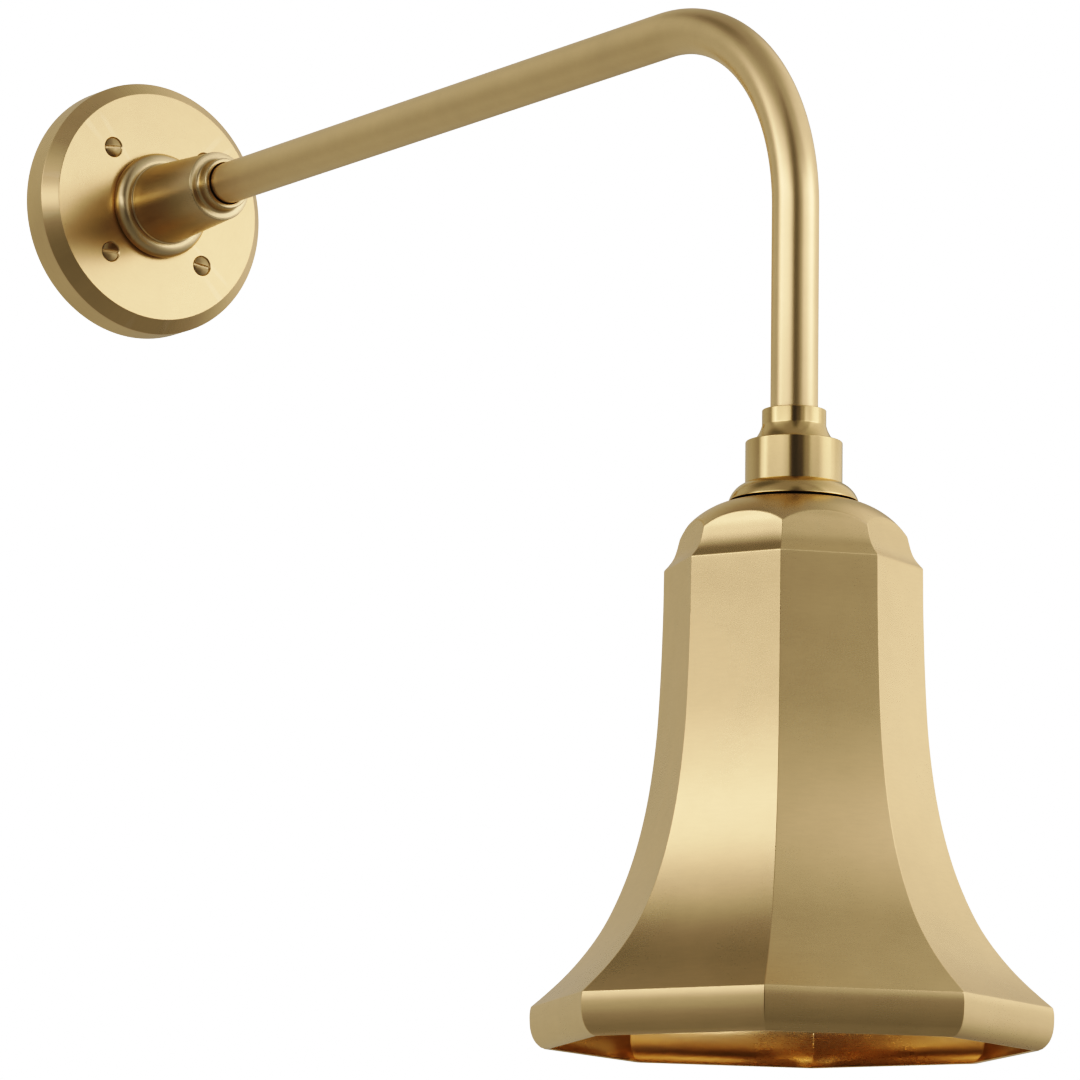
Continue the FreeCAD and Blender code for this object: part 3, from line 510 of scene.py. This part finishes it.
def round_join(a, b, size, steps=4):
    """Joins two lines that share a corner, easing it with a small arc-like
    blend of the given size; returns the two lines shortened and the blend."""
    pa, pb = np.array(a, float), np.array(b, float)
    corner = pa[-1]

    def trim(p, reverse):
        q = p[::-1] if reverse else p
        d = np.concatenate([[0], np.cumsum(np.hypot(*np.diff(q, axis=0).T))])
        s = min(size, d[-1] * 0.4)
        x = np.interp(s, d, q[:, 0])
        y = np.interp(s, d, q[:, 1])
        keep = q[d > s + 1e-6]
        q = np.vstack([[x, y], keep])
        return q[::-1] if reverse else q
    ta, tb = trim(pa, True), trim(pb, False)
    s, e = ta[-1], tb[0]
    blend = []
    for i in range(1, steps):
        f = i / steps
        blend.append(tuple((1 - f) ** 2 * s + 2 * f * (1 - f) * corner + f * f * e))
    return [tuple(x) for x in ta], blend, [tuple(x) for x in tb]


def full_line(u, flank, bell, band, shrink, top, counts, eases):
    dome, flat, bl, bd = shade_meridian(u, flank, bell, band, shrink, top, 0, counts)
    n_dome, n_flank, n_bell, n_band = counts
    dome, j1, flat = round_join(dome, flat, eases[0])
    flat, j2, bl = round_join(flat, bl, eases[1])
    bl, j3, bd = round_join(bl, bd, eases[2])
    return (resample(dome, n_dome) + j1 + resample(flat, n_flank) + j2
            + resample(bl, n_bell) + j3 + resample(bd, n_band))


def make_shade():
    flank_o, bell_o, band_o = dense(FLANK, 0.5), dense(BELL, 0.7), dense(BAND, 0.4)
    flank_i, bell_i = offset_in(flank_o, WALL), offset_in(bell_o, WALL)
    band_i = offset_in(band_o, WALL)
    # the inner lines meet at the same levels as the outer ones
    bell_i[0] = flank_i[-1] = (flank_i[-1][0] * 0.5 + bell_i[0][0] * 0.5, 236.7 + 0.5)
    bell_i = [p for p in bell_i if p[1] >= bell_i[0][1]]
    cols = columns(12, 4, 0.0075)
    counts = (22, 18, 96, 14)
    verts, outer, inner = [], [], []
    twist = math.radians(1.75)
    for c in cols:
        u = c.length
        ang = math.atan2(c.y, c.x) + twist
        lo = full_line(u, flank_o, bell_o, band_o, 0.0, 210.1, counts, (0.55, 0.5, 0.35))
        li = full_line(u, flank_i, bell_i, band_i, WALL, 210.1 + WALL, counts, (0.6, 0.6, 0.6))
        # rounded lip between the band's foot and the inside
        foot_o, foot_i = lo[-1], li[-1]
        lip = []
        for k in range(1, 6):
            a = math.pi * k / 6
            mid = ((foot_o[0] + foot_i[0]) / 2, 427.0 - 0.35)
            half = (foot_o[0] - foot_i[0]) / 2
            lip.append((mid[0] + half * math.cos(a), min(mid[1] + 0.35 * math.sin(a), 427.0)))
        lo = [p if p[1] < 426.6 else (p[0], min(p[1], 426.65)) for p in lo]
        li = [p if p[1] < 426.6 else (p[0], min(p[1], 426.65)) for p in li]
        # the hole in the top and its flat
        flat_o = [(5.2 + (lo[0][0] - 5.2) * k / 4.0, 210.1) for k in range(4)]
        flat_i = [(5.2 + (li[0][0] - 5.2) * k / 4.0, 210.1 + WALL) for k in range(4)]
        line_o, line_i = flat_o + lo, flat_i + li
        row = []
        for r, d in line_o + lip + line_i[::-1]:
            row.append(len(verts))
            verts.append(world_from("drop", r, d, ang))
        outer.append((row, len(line_o)))
    faces, kind = [], []
    n = len(cols)
    for k in range(n):
        a, na = outer[k]
        b, nb = outer[(k + 1) % n]
        m = len(a)
        for i in range(m):
            j = (i + 1) % m
            faces.append((a[i], b[i], b[j], a[j]))
            kind.append(0 if i < na + 2 else 1)
    mesh = bpy.data.meshes.new("shade_bell")
    mesh.from_pydata(verts, [], faces)
    mesh.polygons.foreach_set("material_index", kind)
    bm = bmesh.new()
    bm.from_mesh(mesh)
    bmesh.ops.recalc_face_normals(bm, faces=bm.faces)
    bm.to_mesh(mesh)
    bm.free()
    mesh.polygons.foreach_set("use_smooth", [True] * len(mesh.polygons))
    obj = bpy.data.objects.new("shade_bell", mesh)
    scene.collection.objects.link(obj)
    return obj


shade = make_shade()
weigh(shade, 60)
stands_for(shade, "fixture", "satin_brass", "shade")

# ----------------------------------------------------------------- materials
class Net:
    """A short way to write node trees."""

    def __init__(self, tree):
        self.tree = tree

    def node(self, kind, **props):
        n = self.tree.nodes.new(kind)
        for k, v in props.items():
            setattr(n, k, v)
        return n

    def link(self, a, b):
        self.tree.links.new(a, b)

    def feed(self, socket, value):
        if isinstance(value, bpy.types.NodeSocket):
            self.link(value, socket)
        else:
            socket.default_value = value

    def math(self, op, a, b=0.0, c=None, clamp=False):
        n = self.node("ShaderNodeMath", operation=op, use_clamp=clamp)
        self.feed(n.inputs[0], a)
        self.feed(n.inputs[1], b)
        if c is not None:
            self.feed(n.inputs[2], c)
        return n.outputs[0]

    def noise(self, vector, scale, detail=3.0, rough=0.5, distortion=0.0):
        n = self.node("ShaderNodeTexNoise", noise_dimensions="3D")
        self.feed(n.inputs["Vector"], vector)
        n.inputs["Scale"].default_value = scale
        n.inputs["Detail"].default_value = detail
        n.inputs["Roughness"].default_value = rough
        n.inputs["Distortion"].default_value = distortion
        return n.outputs["Fac"]

    def remap(self, value, a, b, c, d, smooth=False):
        n = self.node("ShaderNodeMapRange", interpolation_type="SMOOTHSTEP" if smooth else "LINEAR")
        self.feed(n.inputs["Value"], value)
        n.inputs["From Min"].default_value = a
        n.inputs["From Max"].default_value = b
        n.inputs["To Min"].default_value = c
        n.inputs["To Max"].default_value = d
        return n.outputs["Result"]

    def mix(self, fac, a, b, blend="MIX"):
        n = self.node("ShaderNodeMix", data_type="RGBA", blend_type=blend)
        self.feed(n.inputs["Factor"], fac)
        self.feed(n.inputs["A"], a)
        self.feed(n.inputs["B"], b)
        return n.outputs["Result"]

    def combine(self, x, y, z):
        n = self.node("ShaderNodeCombineXYZ")
        self.feed(n.inputs[0], x)
        self.feed(n.inputs[1], y)
        self.feed(n.inputs[2], z)
        return n.outputs[0]


def new_material(name):
    mat = bpy.data.materials.new(name)
    mat.use_nodes = True
    mat.node_tree.nodes.clear()
    net = Net(mat.node_tree)
    out = net.node("ShaderNodeOutputMaterial")
    shader = net.node("ShaderNodeBsdfPrincipled")
    net.link(shader.outputs[0], out.inputs["Surface"])
    return mat, net, shader


def object_xyz(net):
    tc = net.node("ShaderNodeTexCoord")
    sep = net.node("ShaderNodeSeparateXYZ")
    net.link(tc.outputs["Object"], sep.inputs[0])
    return tc.outputs["Object"], sep.outputs[0], sep.outputs[1], sep.outputs[2]


def grain_field(net, grain):
    """The coordinate that a fine brushed grain is drawn from: it varies fast
    across the scratches and slowly along them."""
    pos, x, y, z = object_xyz(net)
    if grain == "turned_arm":          # rings about the arm's axis
        rho = net.math("SQRT", net.math("ADD", net.math("MULTIPLY", x, x), net.math("MULTIPLY", z, z)))
        ang = net.math("ARCTAN2", z, x)
        across = net.math("SUBTRACT", rho, y)
    elif grain in ("turned_drop", "level"):   # rings about the hanging axis
        yy = net.math("ADD", y, REACH * 1e-3)
        rho = net.math("SQRT", net.math("ADD", net.math("MULTIPLY", x, x), net.math("MULTIPLY", yy, yy)))
        ang = net.math("ARCTAN2", yy, x)
        across = z if grain == "level" else net.math("SUBTRACT", rho, z)
    else:                              # a slant that suits no axis: even grain
        return pos, None
    c, s = net.math("COSINE", ang), net.math("SINE", ang)
    return pos, net.combine(net.math("MULTIPLY", c, 0.010), net.math("MULTIPLY", s, 0.010), across)


def brass(name, grain="even", base=(0.90, 0.713, 0.448), rough=0.27, aniso=0.0, turn=0.0,
          tangent=None, streak=1.0, dark=(0.46, 0.35, 0.20), painted_crevice_amount=0.55, blotch=1.0,
          edge=(1.0, 0.97, 0.90)):
    mat, net, sh = new_material(name)
    pos, field = grain_field(net, grain)
    if field is None:
        fine = net.noise(pos, 1900.0, 2.0, 0.6)
        broad = net.noise(pos, 240.0, 3.0, 0.55)
    else:
        fine = net.noise(field, 5200.0, 2.0, 0.55)
        broad = net.noise(field, 900.0, 3.0, 0.5)
    cloud = net.noise(pos, 16.0, 3.0, 0.55, 0.3)
    spots = net.noise(pos, 75.0, 4.0, 0.6)

    # colour: slow clouds of tarnish, faint streaks, and painted shade in corners and creases
    tone = net.remap(cloud, 0.25, 0.75, 1.0 - 0.055 * blotch, 1.0 + 0.02 * blotch)
    tone = net.math("MULTIPLY", tone, net.remap(spots, 0.3, 0.7, 1.0 - 0.02 * blotch, 1.0 + 0.015 * blotch))
    tone = net.math("MULTIPLY", tone, net.remap(broad, 0.3, 0.7, 1.0 - 0.016 * streak, 1.0 + 0.012 * streak))
    tone = net.math("MULTIPLY", tone, net.remap(fine, 0.25, 0.75, 1.0 - 0.012 * streak, 1.0 + 0.009 * streak))
    plain = net.node("ShaderNodeVectorMath", operation="SCALE")
    plain.inputs[0].default_value = base
    net.link(tone, plain.inputs["Scale"])
    warm = net.mix(net.remap(cloud, 0.35, 0.8, 0.0, 0.16), plain.outputs[0], (base[0] * 0.96, base[1] * 0.93, base[2] * 0.84, 1.0))
    geo = net.node("ShaderNodeNewGeometry")
    worn = net.remap(geo.outputs["Pointiness"], 0.515, 0.60, 0.0, 0.30, True)
    lifted = net.mix(worn, warm, (min(base[0] * 1.05, 0.98), min(base[1] * 1.09, 0.95), min(base[2] * 1.20, 0.9), 1.0))
    # painted shade: where ambient occlusion finds surfaces within 3.5 mm, corners and creases take the dark colour by
    # the given amount and turn rougher
    ao = net.node("ShaderNodeAmbientOcclusion", samples=4)
    ao.inputs["Distance"].default_value = 0.0035
    corner = net.remap(ao.outputs["AO"], 0.25, 0.8, painted_crevice_amount, 0.0, True)
    colour = net.mix(corner, lifted, dark + (1.0,))
    net.link(colour, sh.inputs["Base Color"])
    sh.inputs["Metallic"].default_value = 1.0
    sh.inputs["Specular Tint"].default_value = edge + (1.0,)

    # gloss: the grain and the clouds both change it a little
    r = net.remap(fine, 0.2, 0.8, rough - 0.012 * streak, rough + 0.018 * streak)
    r = net.math("ADD", r, net.remap(cloud, 0.3, 0.7, -0.012, 0.018))
    r = net.math("ADD", r, net.math("MULTIPLY", corner, 0.12))
    net.link(r, sh.inputs["Roughness"])
    sh.inputs["Anisotropic"].default_value = aniso
    sh.inputs["Anisotropic Rotation"].default_value = turn
    if tangent:
        tn = net.node("ShaderNodeTangent", direction_type="RADIAL", axis=tangent)
        net.link(tn.outputs[0], sh.inputs["Tangent"])

    # relief: shallow scratches over a very slight unevenness
    height = net.math("ADD", net.math("MULTIPLY", fine, 0.45), net.math("MULTIPLY", broad, 0.55))
    bump = net.node("ShaderNodeBump")
    bump.inputs["Strength"].default_value = 0.045 * streak
    bump.inputs["Distance"].default_value = 0.00004
    net.link(height, bump.inputs["Height"])
    wave = net.node("ShaderNodeBump")
    wave.inputs["Strength"].default_value = 0.06
    wave.inputs["Distance"].default_value = 0.0006
    net.link(net.noise(pos, 38.0, 1.0, 0.5), wave.inputs["Height"])
    net.link(bump.outputs[0], wave.inputs["Normal"])
    net.link(wave.outputs[0], sh.inputs["Normal"])
    return mat


def metal(name, base, rough, scale=900.0, grain=0.25, tint=None):
    """Plated or turned hardware: fine random grain, faint stains."""
    mat, net, sh = new_material(name)
    pos, x, y, z = object_xyz(net)
    fine = net.noise(pos, scale, 3.0, 0.6)
    stain = net.noise(pos, 120.0, 4.0, 0.6)
    tint = tint or tuple(c * 0.72 for c in base)
    a = net.mix(net.remap(stain, 0.35, 0.72, 0.0, 0.7), base + (1.0,), tint + (1.0,))
    net.link(net.mix(net.remap(fine, 0.3, 0.7, 0.0, 0.25), a, tuple(c * 0.85 for c in base) + (1.0,)), sh.inputs["Base Color"])
    sh.inputs["Metallic"].default_value = 1.0
    net.link(net.remap(fine, 0.2, 0.8, rough - 0.06, rough + 0.10), sh.inputs["Roughness"])
    bump = net.node("ShaderNodeBump")
    bump.inputs["Strength"].default_value = grain
    bump.inputs["Distance"].default_value = 0.00008
    net.link(fine, bump.inputs["Height"])
    net.link(bump.outputs[0], sh.inputs["Normal"])
    return mat


def moulded(name, base, rough, scale=700.0, grain=0.3, second=None, coat=0.0):
    """Plastic, rubber, fibre and insulation."""
    mat, net, sh = new_material(name)
    pos, x, y, z = object_xyz(net)
    fine = net.noise(pos, scale, 4.0, 0.6)
    cloud = net.noise(pos, 60.0, 3.0, 0.5)
    second = second or tuple(min(c * 1.35 + 0.01, 1.0) for c in base)
    colour = net.mix(net.remap(cloud, 0.3, 0.75, 0.0, 0.5), base + (1.0,), second + (1.0,))
    colour = net.mix(net.remap(fine, 0.35, 0.7, 0.0, 0.2), colour, tuple(c * 0.75 for c in base) + (1.0,))
    net.link(colour, sh.inputs["Base Color"])
    net.link(net.remap(fine, 0.2, 0.8, rough - 0.08, rough + 0.08), sh.inputs["Roughness"])
    sh.inputs["Coat Weight"].default_value = coat
    bump = net.node("ShaderNodeBump")
    bump.inputs["Strength"].default_value = grain
    bump.inputs["Distance"].default_value = 0.0001
    net.link(fine, bump.inputs["Height"])
    net.link(bump.outputs[0], sh.inputs["Normal"])
    return mat


def clear_glass(name):
    mat, net, sh = new_material(name)
    pos, x, y, z = object_xyz(net)
    ripple = net.noise(pos, 35.0, 2.0, 0.5)
    dust = net.noise(pos, 420.0, 4.0, 0.65)
    net.link(net.mix(net.remap(dust, 0.55, 0.8, 0.0, 0.35), (0.985, 0.99, 0.985, 1.0), (0.90, 0.91, 0.89, 1.0)), sh.inputs["Base Color"])
    net.link(net.remap(dust, 0.5, 0.8, 0.0, 0.08), sh.inputs["Roughness"])
    sh.inputs["Transmission Weight"].default_value = 1.0
    sh.inputs["IOR"].default_value = 1.47
    bump = net.node("ShaderNodeBump")
    bump.inputs["Strength"].default_value = 0.05
    bump.inputs["Distance"].default_value = 0.0008
    net.link(ripple, bump.inputs["Height"])
    net.link(bump.outputs[0], sh.inputs["Normal"])
    return mat


# every brass below takes painted shade in its corners and creases from the crevice term
M_PLATE = brass("brass_plate", "turned_arm", rough=0.28, aniso=0.35, turn=0.25, tangent="Y", streak=0.8)
M_BOSS = brass("brass_boss", "turned_arm", base=(0.86, 0.715, 0.485), rough=0.28, aniso=0.6, turn=0.25, tangent="Y", streak=0.6)
# the arm's brass is a lighter copy of the same brass: painted light for the brighter reflections the tube shows
M_ARM = brass("brass_arm", "even", base=(0.95, 0.757, 0.482), rough=0.30, streak=0.7)
# the collar and holder brass is a darker copy of the same brass: painted shade; its lower roughness is its own polish
M_COLLAR = brass("brass_collar", "turned_drop", base=(0.83, 0.652, 0.385), rough=0.185, aniso=0.4, turn=0.25, tangent="Z", streak=0.9)
# the shade's crevice term is a strong painted shade, darkest on the dome just under the holder
M_SHADE = brass("brass_shade", "level", rough=0.28, aniso=0.6, turn=0.25, tangent="Z", streak=1.0,
                dark=(0.26, 0.19, 0.10), painted_crevice_amount=0.9, edge=(1.0, 0.965, 0.88))
M_INSIDE = brass("brass_inside", "level", base=(0.945, 0.845, 0.69), rough=0.30, streak=1.2,
                 dark=(0.50, 0.34, 0.17), painted_crevice_amount=0.4, blotch=1.6)
# tarnished heads; the crevice term here uses a light colour, so the slots and other recesses get a painted highlight
M_SCREW = brass("brass_screw", "even", base=(0.54, 0.425, 0.265), rough=0.28, streak=1.2,
                dark=(0.94, 0.76, 0.50), painted_crevice_amount=1.0, blotch=1.8)
M_RAW = metal("raw_brass", (0.72, 0.52, 0.24), 0.30)
M_ZINC = metal("zinc", (0.58, 0.58, 0.56), 0.34, tint=(0.46, 0.47, 0.50))
M_GREEN_STEEL = metal("green_plating", (0.06, 0.30, 0.13), 0.32)
M_TIN = metal("tinned", (0.68, 0.68, 0.66), 0.30)
M_ALU = metal("aluminium", (0.74, 0.74, 0.73), 0.28)
M_BLACK = moulded("phenolic", (0.018, 0.016, 0.015), 0.42)
M_CONNECTOR = moulded("connector", (0.78, 0.24, 0.03), 0.45)
M_GASKET = moulded("gasket", (0.022, 0.022, 0.022), 0.65, 900.0, 0.5)
M_CARD = moulded("card", (0.36, 0.25, 0.15), 0.80, 500.0, 0.6, (0.44, 0.33, 0.21))
M_WIRE_BLACK = moulded("wire_black", (0.015, 0.015, 0.016), 0.45)
M_WIRE_WHITE = moulded("wire_white", (0.74, 0.73, 0.69), 0.45, second=(0.80, 0.79, 0.74))
M_WIRE_GREEN = moulded("wire_green", (0.03, 0.28, 0.09), 0.45)
M_GLASS = clear_glass("bulb_glass")
M_FILAMENT = moulded("filament", (0.86, 0.55, 0.08), 0.40, 1200.0, 0.4, (0.92, 0.66, 0.18), coat=0.3)


def wear(obj, *mats):
    obj.data.materials.clear()
    for m in mats:
        obj.data.materials.append(m)


wear(plate, M_PLATE)
wear(screws, M_SCREW)
wear(bead, M_BOSS)
wear(boss, M_BOSS)
wear(arm, M_ARM)
wear(collar, M_COLLAR)
wear(holder, M_COLLAR)
wear(shade, M_SHADE, M_INSIDE)
BY_SLOT = {"satin_brass": M_PLATE, "screw_brass": M_SCREW, "raw_brass": M_RAW, "zinc_steel": M_ZINC,
           "green_steel": M_GREEN_STEEL, "tinned_metal": M_TIN, "shell_aluminium": M_ALU,
           "black_plastic": M_BLACK, "connector_plastic": M_CONNECTOR, "gasket_rubber": M_GASKET,
           "liner_card": M_CARD, "black_insulation": M_WIRE_BLACK, "white_insulation": M_WIRE_WHITE,
           "green_insulation": M_WIRE_GREEN, "clear_glass": M_GLASS, "filament_yellow": M_FILAMENT}
for sub in frame["record"]["subparts"]:
    obj = nodes.get(sub["node"])
    key = sub.get("material_slot")
    if obj is None or key not in BY_SLOT:
        print("no finish for", sub)
        continue
    for s in obj.material_slots:
        s.material = BY_SLOT[key]
    if not obj.material_slots:
        obj.data.materials.append(BY_SLOT[key])

# ------------------------------------------------------------------- studio
def floor_piece():
    n, size, z = 24, 7.0, -1.9
    verts, faces = [], []
    for i in range(n + 1):
        for j in range(n + 1):
            verts.append(((i / n - 0.5) * 2 * size, (j / n - 0.5) * 2 * size, z))
    for i in range(n):
        for j in range(n):
            a = i * (n + 1) + j
            faces.append((a, a + n + 1, a + n + 2, a + 1))
    return put("floor", verts, faces)


floor = floor_piece()
floor.visible_glossy = False
floor_mat, fnet, fsh = new_material("floor_paint")
fpos, fx, fy, fz = object_xyz(fnet)
fnet.link(fnet.mix(fnet.remap(fnet.noise(fpos, 3.0, 3.0, 0.5), 0.3, 0.7, 0.0, 0.5), (0.92, 0.91, 0.89, 1.0), (0.95, 0.94, 0.92, 1.0)), fsh.inputs["Base Color"])
fsh.inputs["Roughness"].default_value = 0.8
fsh.inputs["Emission Color"].default_value = (1.0, 0.99, 0.975, 1.0)
fsh.inputs["Emission Strength"].default_value = 0.42
fgeo = fnet.node("ShaderNodeNewGeometry")
fclear = fnet.node("ShaderNodeBsdfTransparent")
fmix = fnet.node("ShaderNodeMixShader")
# clear from below, and fading out far from the lamp so that no edge shows
fdist = fnet.math("SQRT", fnet.math("MULTIPLY_ADD", fx, fx, fnet.math("MULTIPLY", fy, fy)))
fnet.link(fnet.math("MULTIPLY", fgeo.outputs["Backfacing"], fnet.remap(fdist, 2.6, 6.8, 1.0, 0.0, True)), fmix.inputs[0])
fnet.link(fsh.outputs[0], fmix.inputs[2])
fnet.link(fclear.outputs[0], fmix.inputs[1])
fnet.link(fmix.outputs[0], [n for n in floor_mat.node_tree.nodes if n.type == "OUTPUT_MATERIAL"][0].inputs["Surface"])
wear(floor, floor_mat)

cam_data = bpy.data.cameras.new("view")
cam_data.lens = 185.53
cam_data.sensor_width = 36.0
cam_data.clip_start, cam_data.clip_end = 0.05, 60.0
cam = bpy.data.objects.new("view", cam_data)
scene.collection.objects.link(cam)
right = Vector((0.81604, -0.57783, 0.01405)).normalized()
ahead = Vector((0.567911, 0.806085, 0.166448)).normalized()
up = right.cross(ahead).normalized()
right = ahead.cross(up).normalized()
m = Matrix((right, up, -ahead)).transposed().to_4x4()
m.translation = Vector((-1.33701, -2.23663, -0.59389))
cam.matrix_world = m
scene.camera = cam

scene.view_settings.view_transform = "Standard"
scene.view_settings.look = "None"


# Soft boxes left and right of a dark camera side, a dim room behind, above and
# below. Each box is (azimuth from, to, softness; elevation from, to, softness;
# strength): azimuth 0 is -Y, the room side, and grows towards +X, in degrees.
BOXES = [
    (-121, -60, 9, 8, 39, 10, 0.36),
    (-114, -74, 9, 14, 32, 4, 0.08),
    (-135, -80, 14, 42, 58, 8, 0.07),
    (-124, -105, 5, 0, 27, 10, 0.42),
    (30, 122, 10, -12, 62, 24, 0.33),
    (40, 76, 8, -6, 26, 13, 0.20),
    (7, 40, 7, 0, 50, 12, 0.12),
    (-16, 16, 9, 14, 72, 6, 0.05),
    (10, 110, 30, -38, 0, 14, 0.06),
]
REAR = [
    (-38, 38, 20, -48, 46, 16, 0.13),
]
FLAGS = [
    (-46, -14, 5, -18, 40, 12, 0.66),
    (-42, -22, 7, 40, 62, 8, 0.45),
    (-75, -20, 18, -48, -12, 12, 0.20),
    (-30, 20, 12, -60, 10, 8, 0.15),
]
REAR_FLAGS = [
    (5, 60, 14, 48, 76, 9, 0.40),
]
world = bpy.data.worlds.new("studio") if scene.world is None else scene.world
scene.world = world
world.use_nodes = True
world.node_tree.nodes.clear()
wnet = Net(world.node_tree)
wtc = wnet.node("ShaderNodeTexCoord")
wsep = wnet.node("ShaderNodeSeparateXYZ")
wnet.link(wtc.outputs["Generated"], wsep.inputs[0])
dx, dy, dz = wsep.outputs
deg = 180.0 / math.pi
az = wnet.math("MULTIPLY", wnet.math("ARCTAN2", dx, wnet.math("MULTIPLY", dy, -1.0)), deg)
az_rear = wnet.math("MULTIPLY", wnet.math("ARCTAN2", wnet.math("MULTIPLY", dx, -1.0), dy), deg)
el = wnet.math("MULTIPLY", wnet.math("ARCSINE", dz), deg)


def window(v, a, b, soft):
    return wnet.math("MULTIPLY", wnet.remap(v, a - soft, a + soft, 0.0, 1.0, True),
                     wnet.remap(v, b - soft, b + soft, 1.0, 0.0, True))


glow = wnet.remap(el, -55.0, 40.0, 0.225, 0.295, True)
for angle, boxes in ((az, BOXES), (az_rear, REAR)):
    for a0, a1, sa, e0, e1, se, strength in boxes:
        glow = wnet.math("MULTIPLY_ADD", wnet.math("MULTIPLY", window(angle, a0, a1, sa), window(el, e0, e1, se)), strength, glow)
for angle, boxes in ((az, FLAGS), (az_rear, REAR_FLAGS)):
    for a0, a1, sa, e0, e1, se, strength in boxes:
        shut = wnet.math("MULTIPLY", window(angle, a0, a1, sa), window(el, e0, e1, se))
        glow = wnet.math("MULTIPLY", glow, wnet.math("SUBTRACT", 1.0, wnet.math("MULTIPLY", shut, strength)))
seen = wnet.node("ShaderNodeLightPath")
room = wnet.node("ShaderNodeBackground")
room.inputs["Color"].default_value = (1.0, 0.99, 0.975, 1)
wnet.link(glow, room.inputs["Strength"])
paper = wnet.node("ShaderNodeBackground")
paper.inputs["Color"].default_value = (1, 1, 1, 1)
paper.inputs["Strength"].default_value = 1.0
both = wnet.node("ShaderNodeMixShader")
wnet.link(seen.outputs["Is Camera Ray"], both.inputs[0])
wnet.link(room.outputs[0], both.inputs[1])
wnet.link(paper.outputs[0], both.inputs[2])
wout = wnet.node("ShaderNodeOutputWorld")
wnet.link(both.outputs[0], wout.inputs["Surface"])



def panel(name, at, aim, size_x, size_y, radiance, soft_x, soft_y):
    """A soft box near the object: a flat light whose strength falls off
    smoothly towards its edges. The camera doesn't see it."""
    data = bpy.data.lights.new(name, "AREA")
    data.shape = "RECTANGLE"
    data.size, data.size_y = size_x, size_y
    data.energy = 4.0 * size_x * size_y * radiance
    data.use_nodes = True
    data.node_tree.nodes.clear()
    net = Net(data.node_tree)
    geo = net.node("ShaderNodeNewGeometry")
    sep = net.node("ShaderNodeSeparateXYZ")
    net.link(geo.outputs["Parametric"], sep.inputs[0])
    edge = None
    for k, soft in enumerate((soft_x, soft_y)):
        off = net.math("ABSOLUTE", net.math("SUBTRACT", sep.outputs[k], 0.5))
        fall = net.remap(off, 0.5 - soft, 0.5, 1.0, 0.0, True)
        edge = fall if edge is None else net.math("MULTIPLY", edge, fall)
    glow = net.node("ShaderNodeEmission")
    net.link(edge, glow.inputs["Strength"])
    out = net.node("ShaderNodeOutputLight")
    net.link(glow.outputs[0], out.inputs["Surface"])
    obj = bpy.data.objects.new(name, data)
    scene.collection.objects.link(obj)
    obj.location = at
    obj.rotation_euler = (Vector(aim) - Vector(at)).to_track_quat("-Z", "Y").to_euler()
    obj.visible_camera = False
    return obj


panel("box_left", (-0.92, -0.73, 0.14), (0.0, -0.73, 0.14), 1.26, 0.34, 0.54, 0.09, 0.30)
panel("box_right", (0.46, -1.34, 0.20), (-0.08, -0.57, 0.20), 1.25, 0.46, 0.44, 0.12, 0.22)
panel("box_front", (-0.18, -1.45, 0.29), (-0.18, -0.5, 0.29), 0.85, 0.62, 0.095, 0.20, 0.15)
panel("mouth_fill", (0.013, -REACH * 1e-3, -0.4245), (0.013, -REACH * 1e-3, 0.0), 0.064, 0.056, 4.6, 0.3, 0.3)
panel("box_side", (0.95, -0.50, -0.14), (0.0, -0.50, -0.14), 0.60, 0.26, 0.17, 0.35, 0.35)

# the response of the print: a gentle shoulder over a firm toe
scene.view_settings.use_curve_mapping = True
curve = scene.view_settings.curve_mapping
curve.extend = "EXTRAPOLATED"
points = curve.curves[3].points
TONE = [(0.0, 0.0), (0.045, 0.01), (0.085, 0.03), (0.125, 0.07), (0.18, 0.14), (0.25, 0.25),
        (0.355, 0.40), (0.50, 0.60), (0.68, 0.80), (1.0, 1.0)]
points[0].location = TONE[0]
points[1].location = TONE[-1]
for p in TONE[1:-1]:
    points.new(*p)
curve.update()
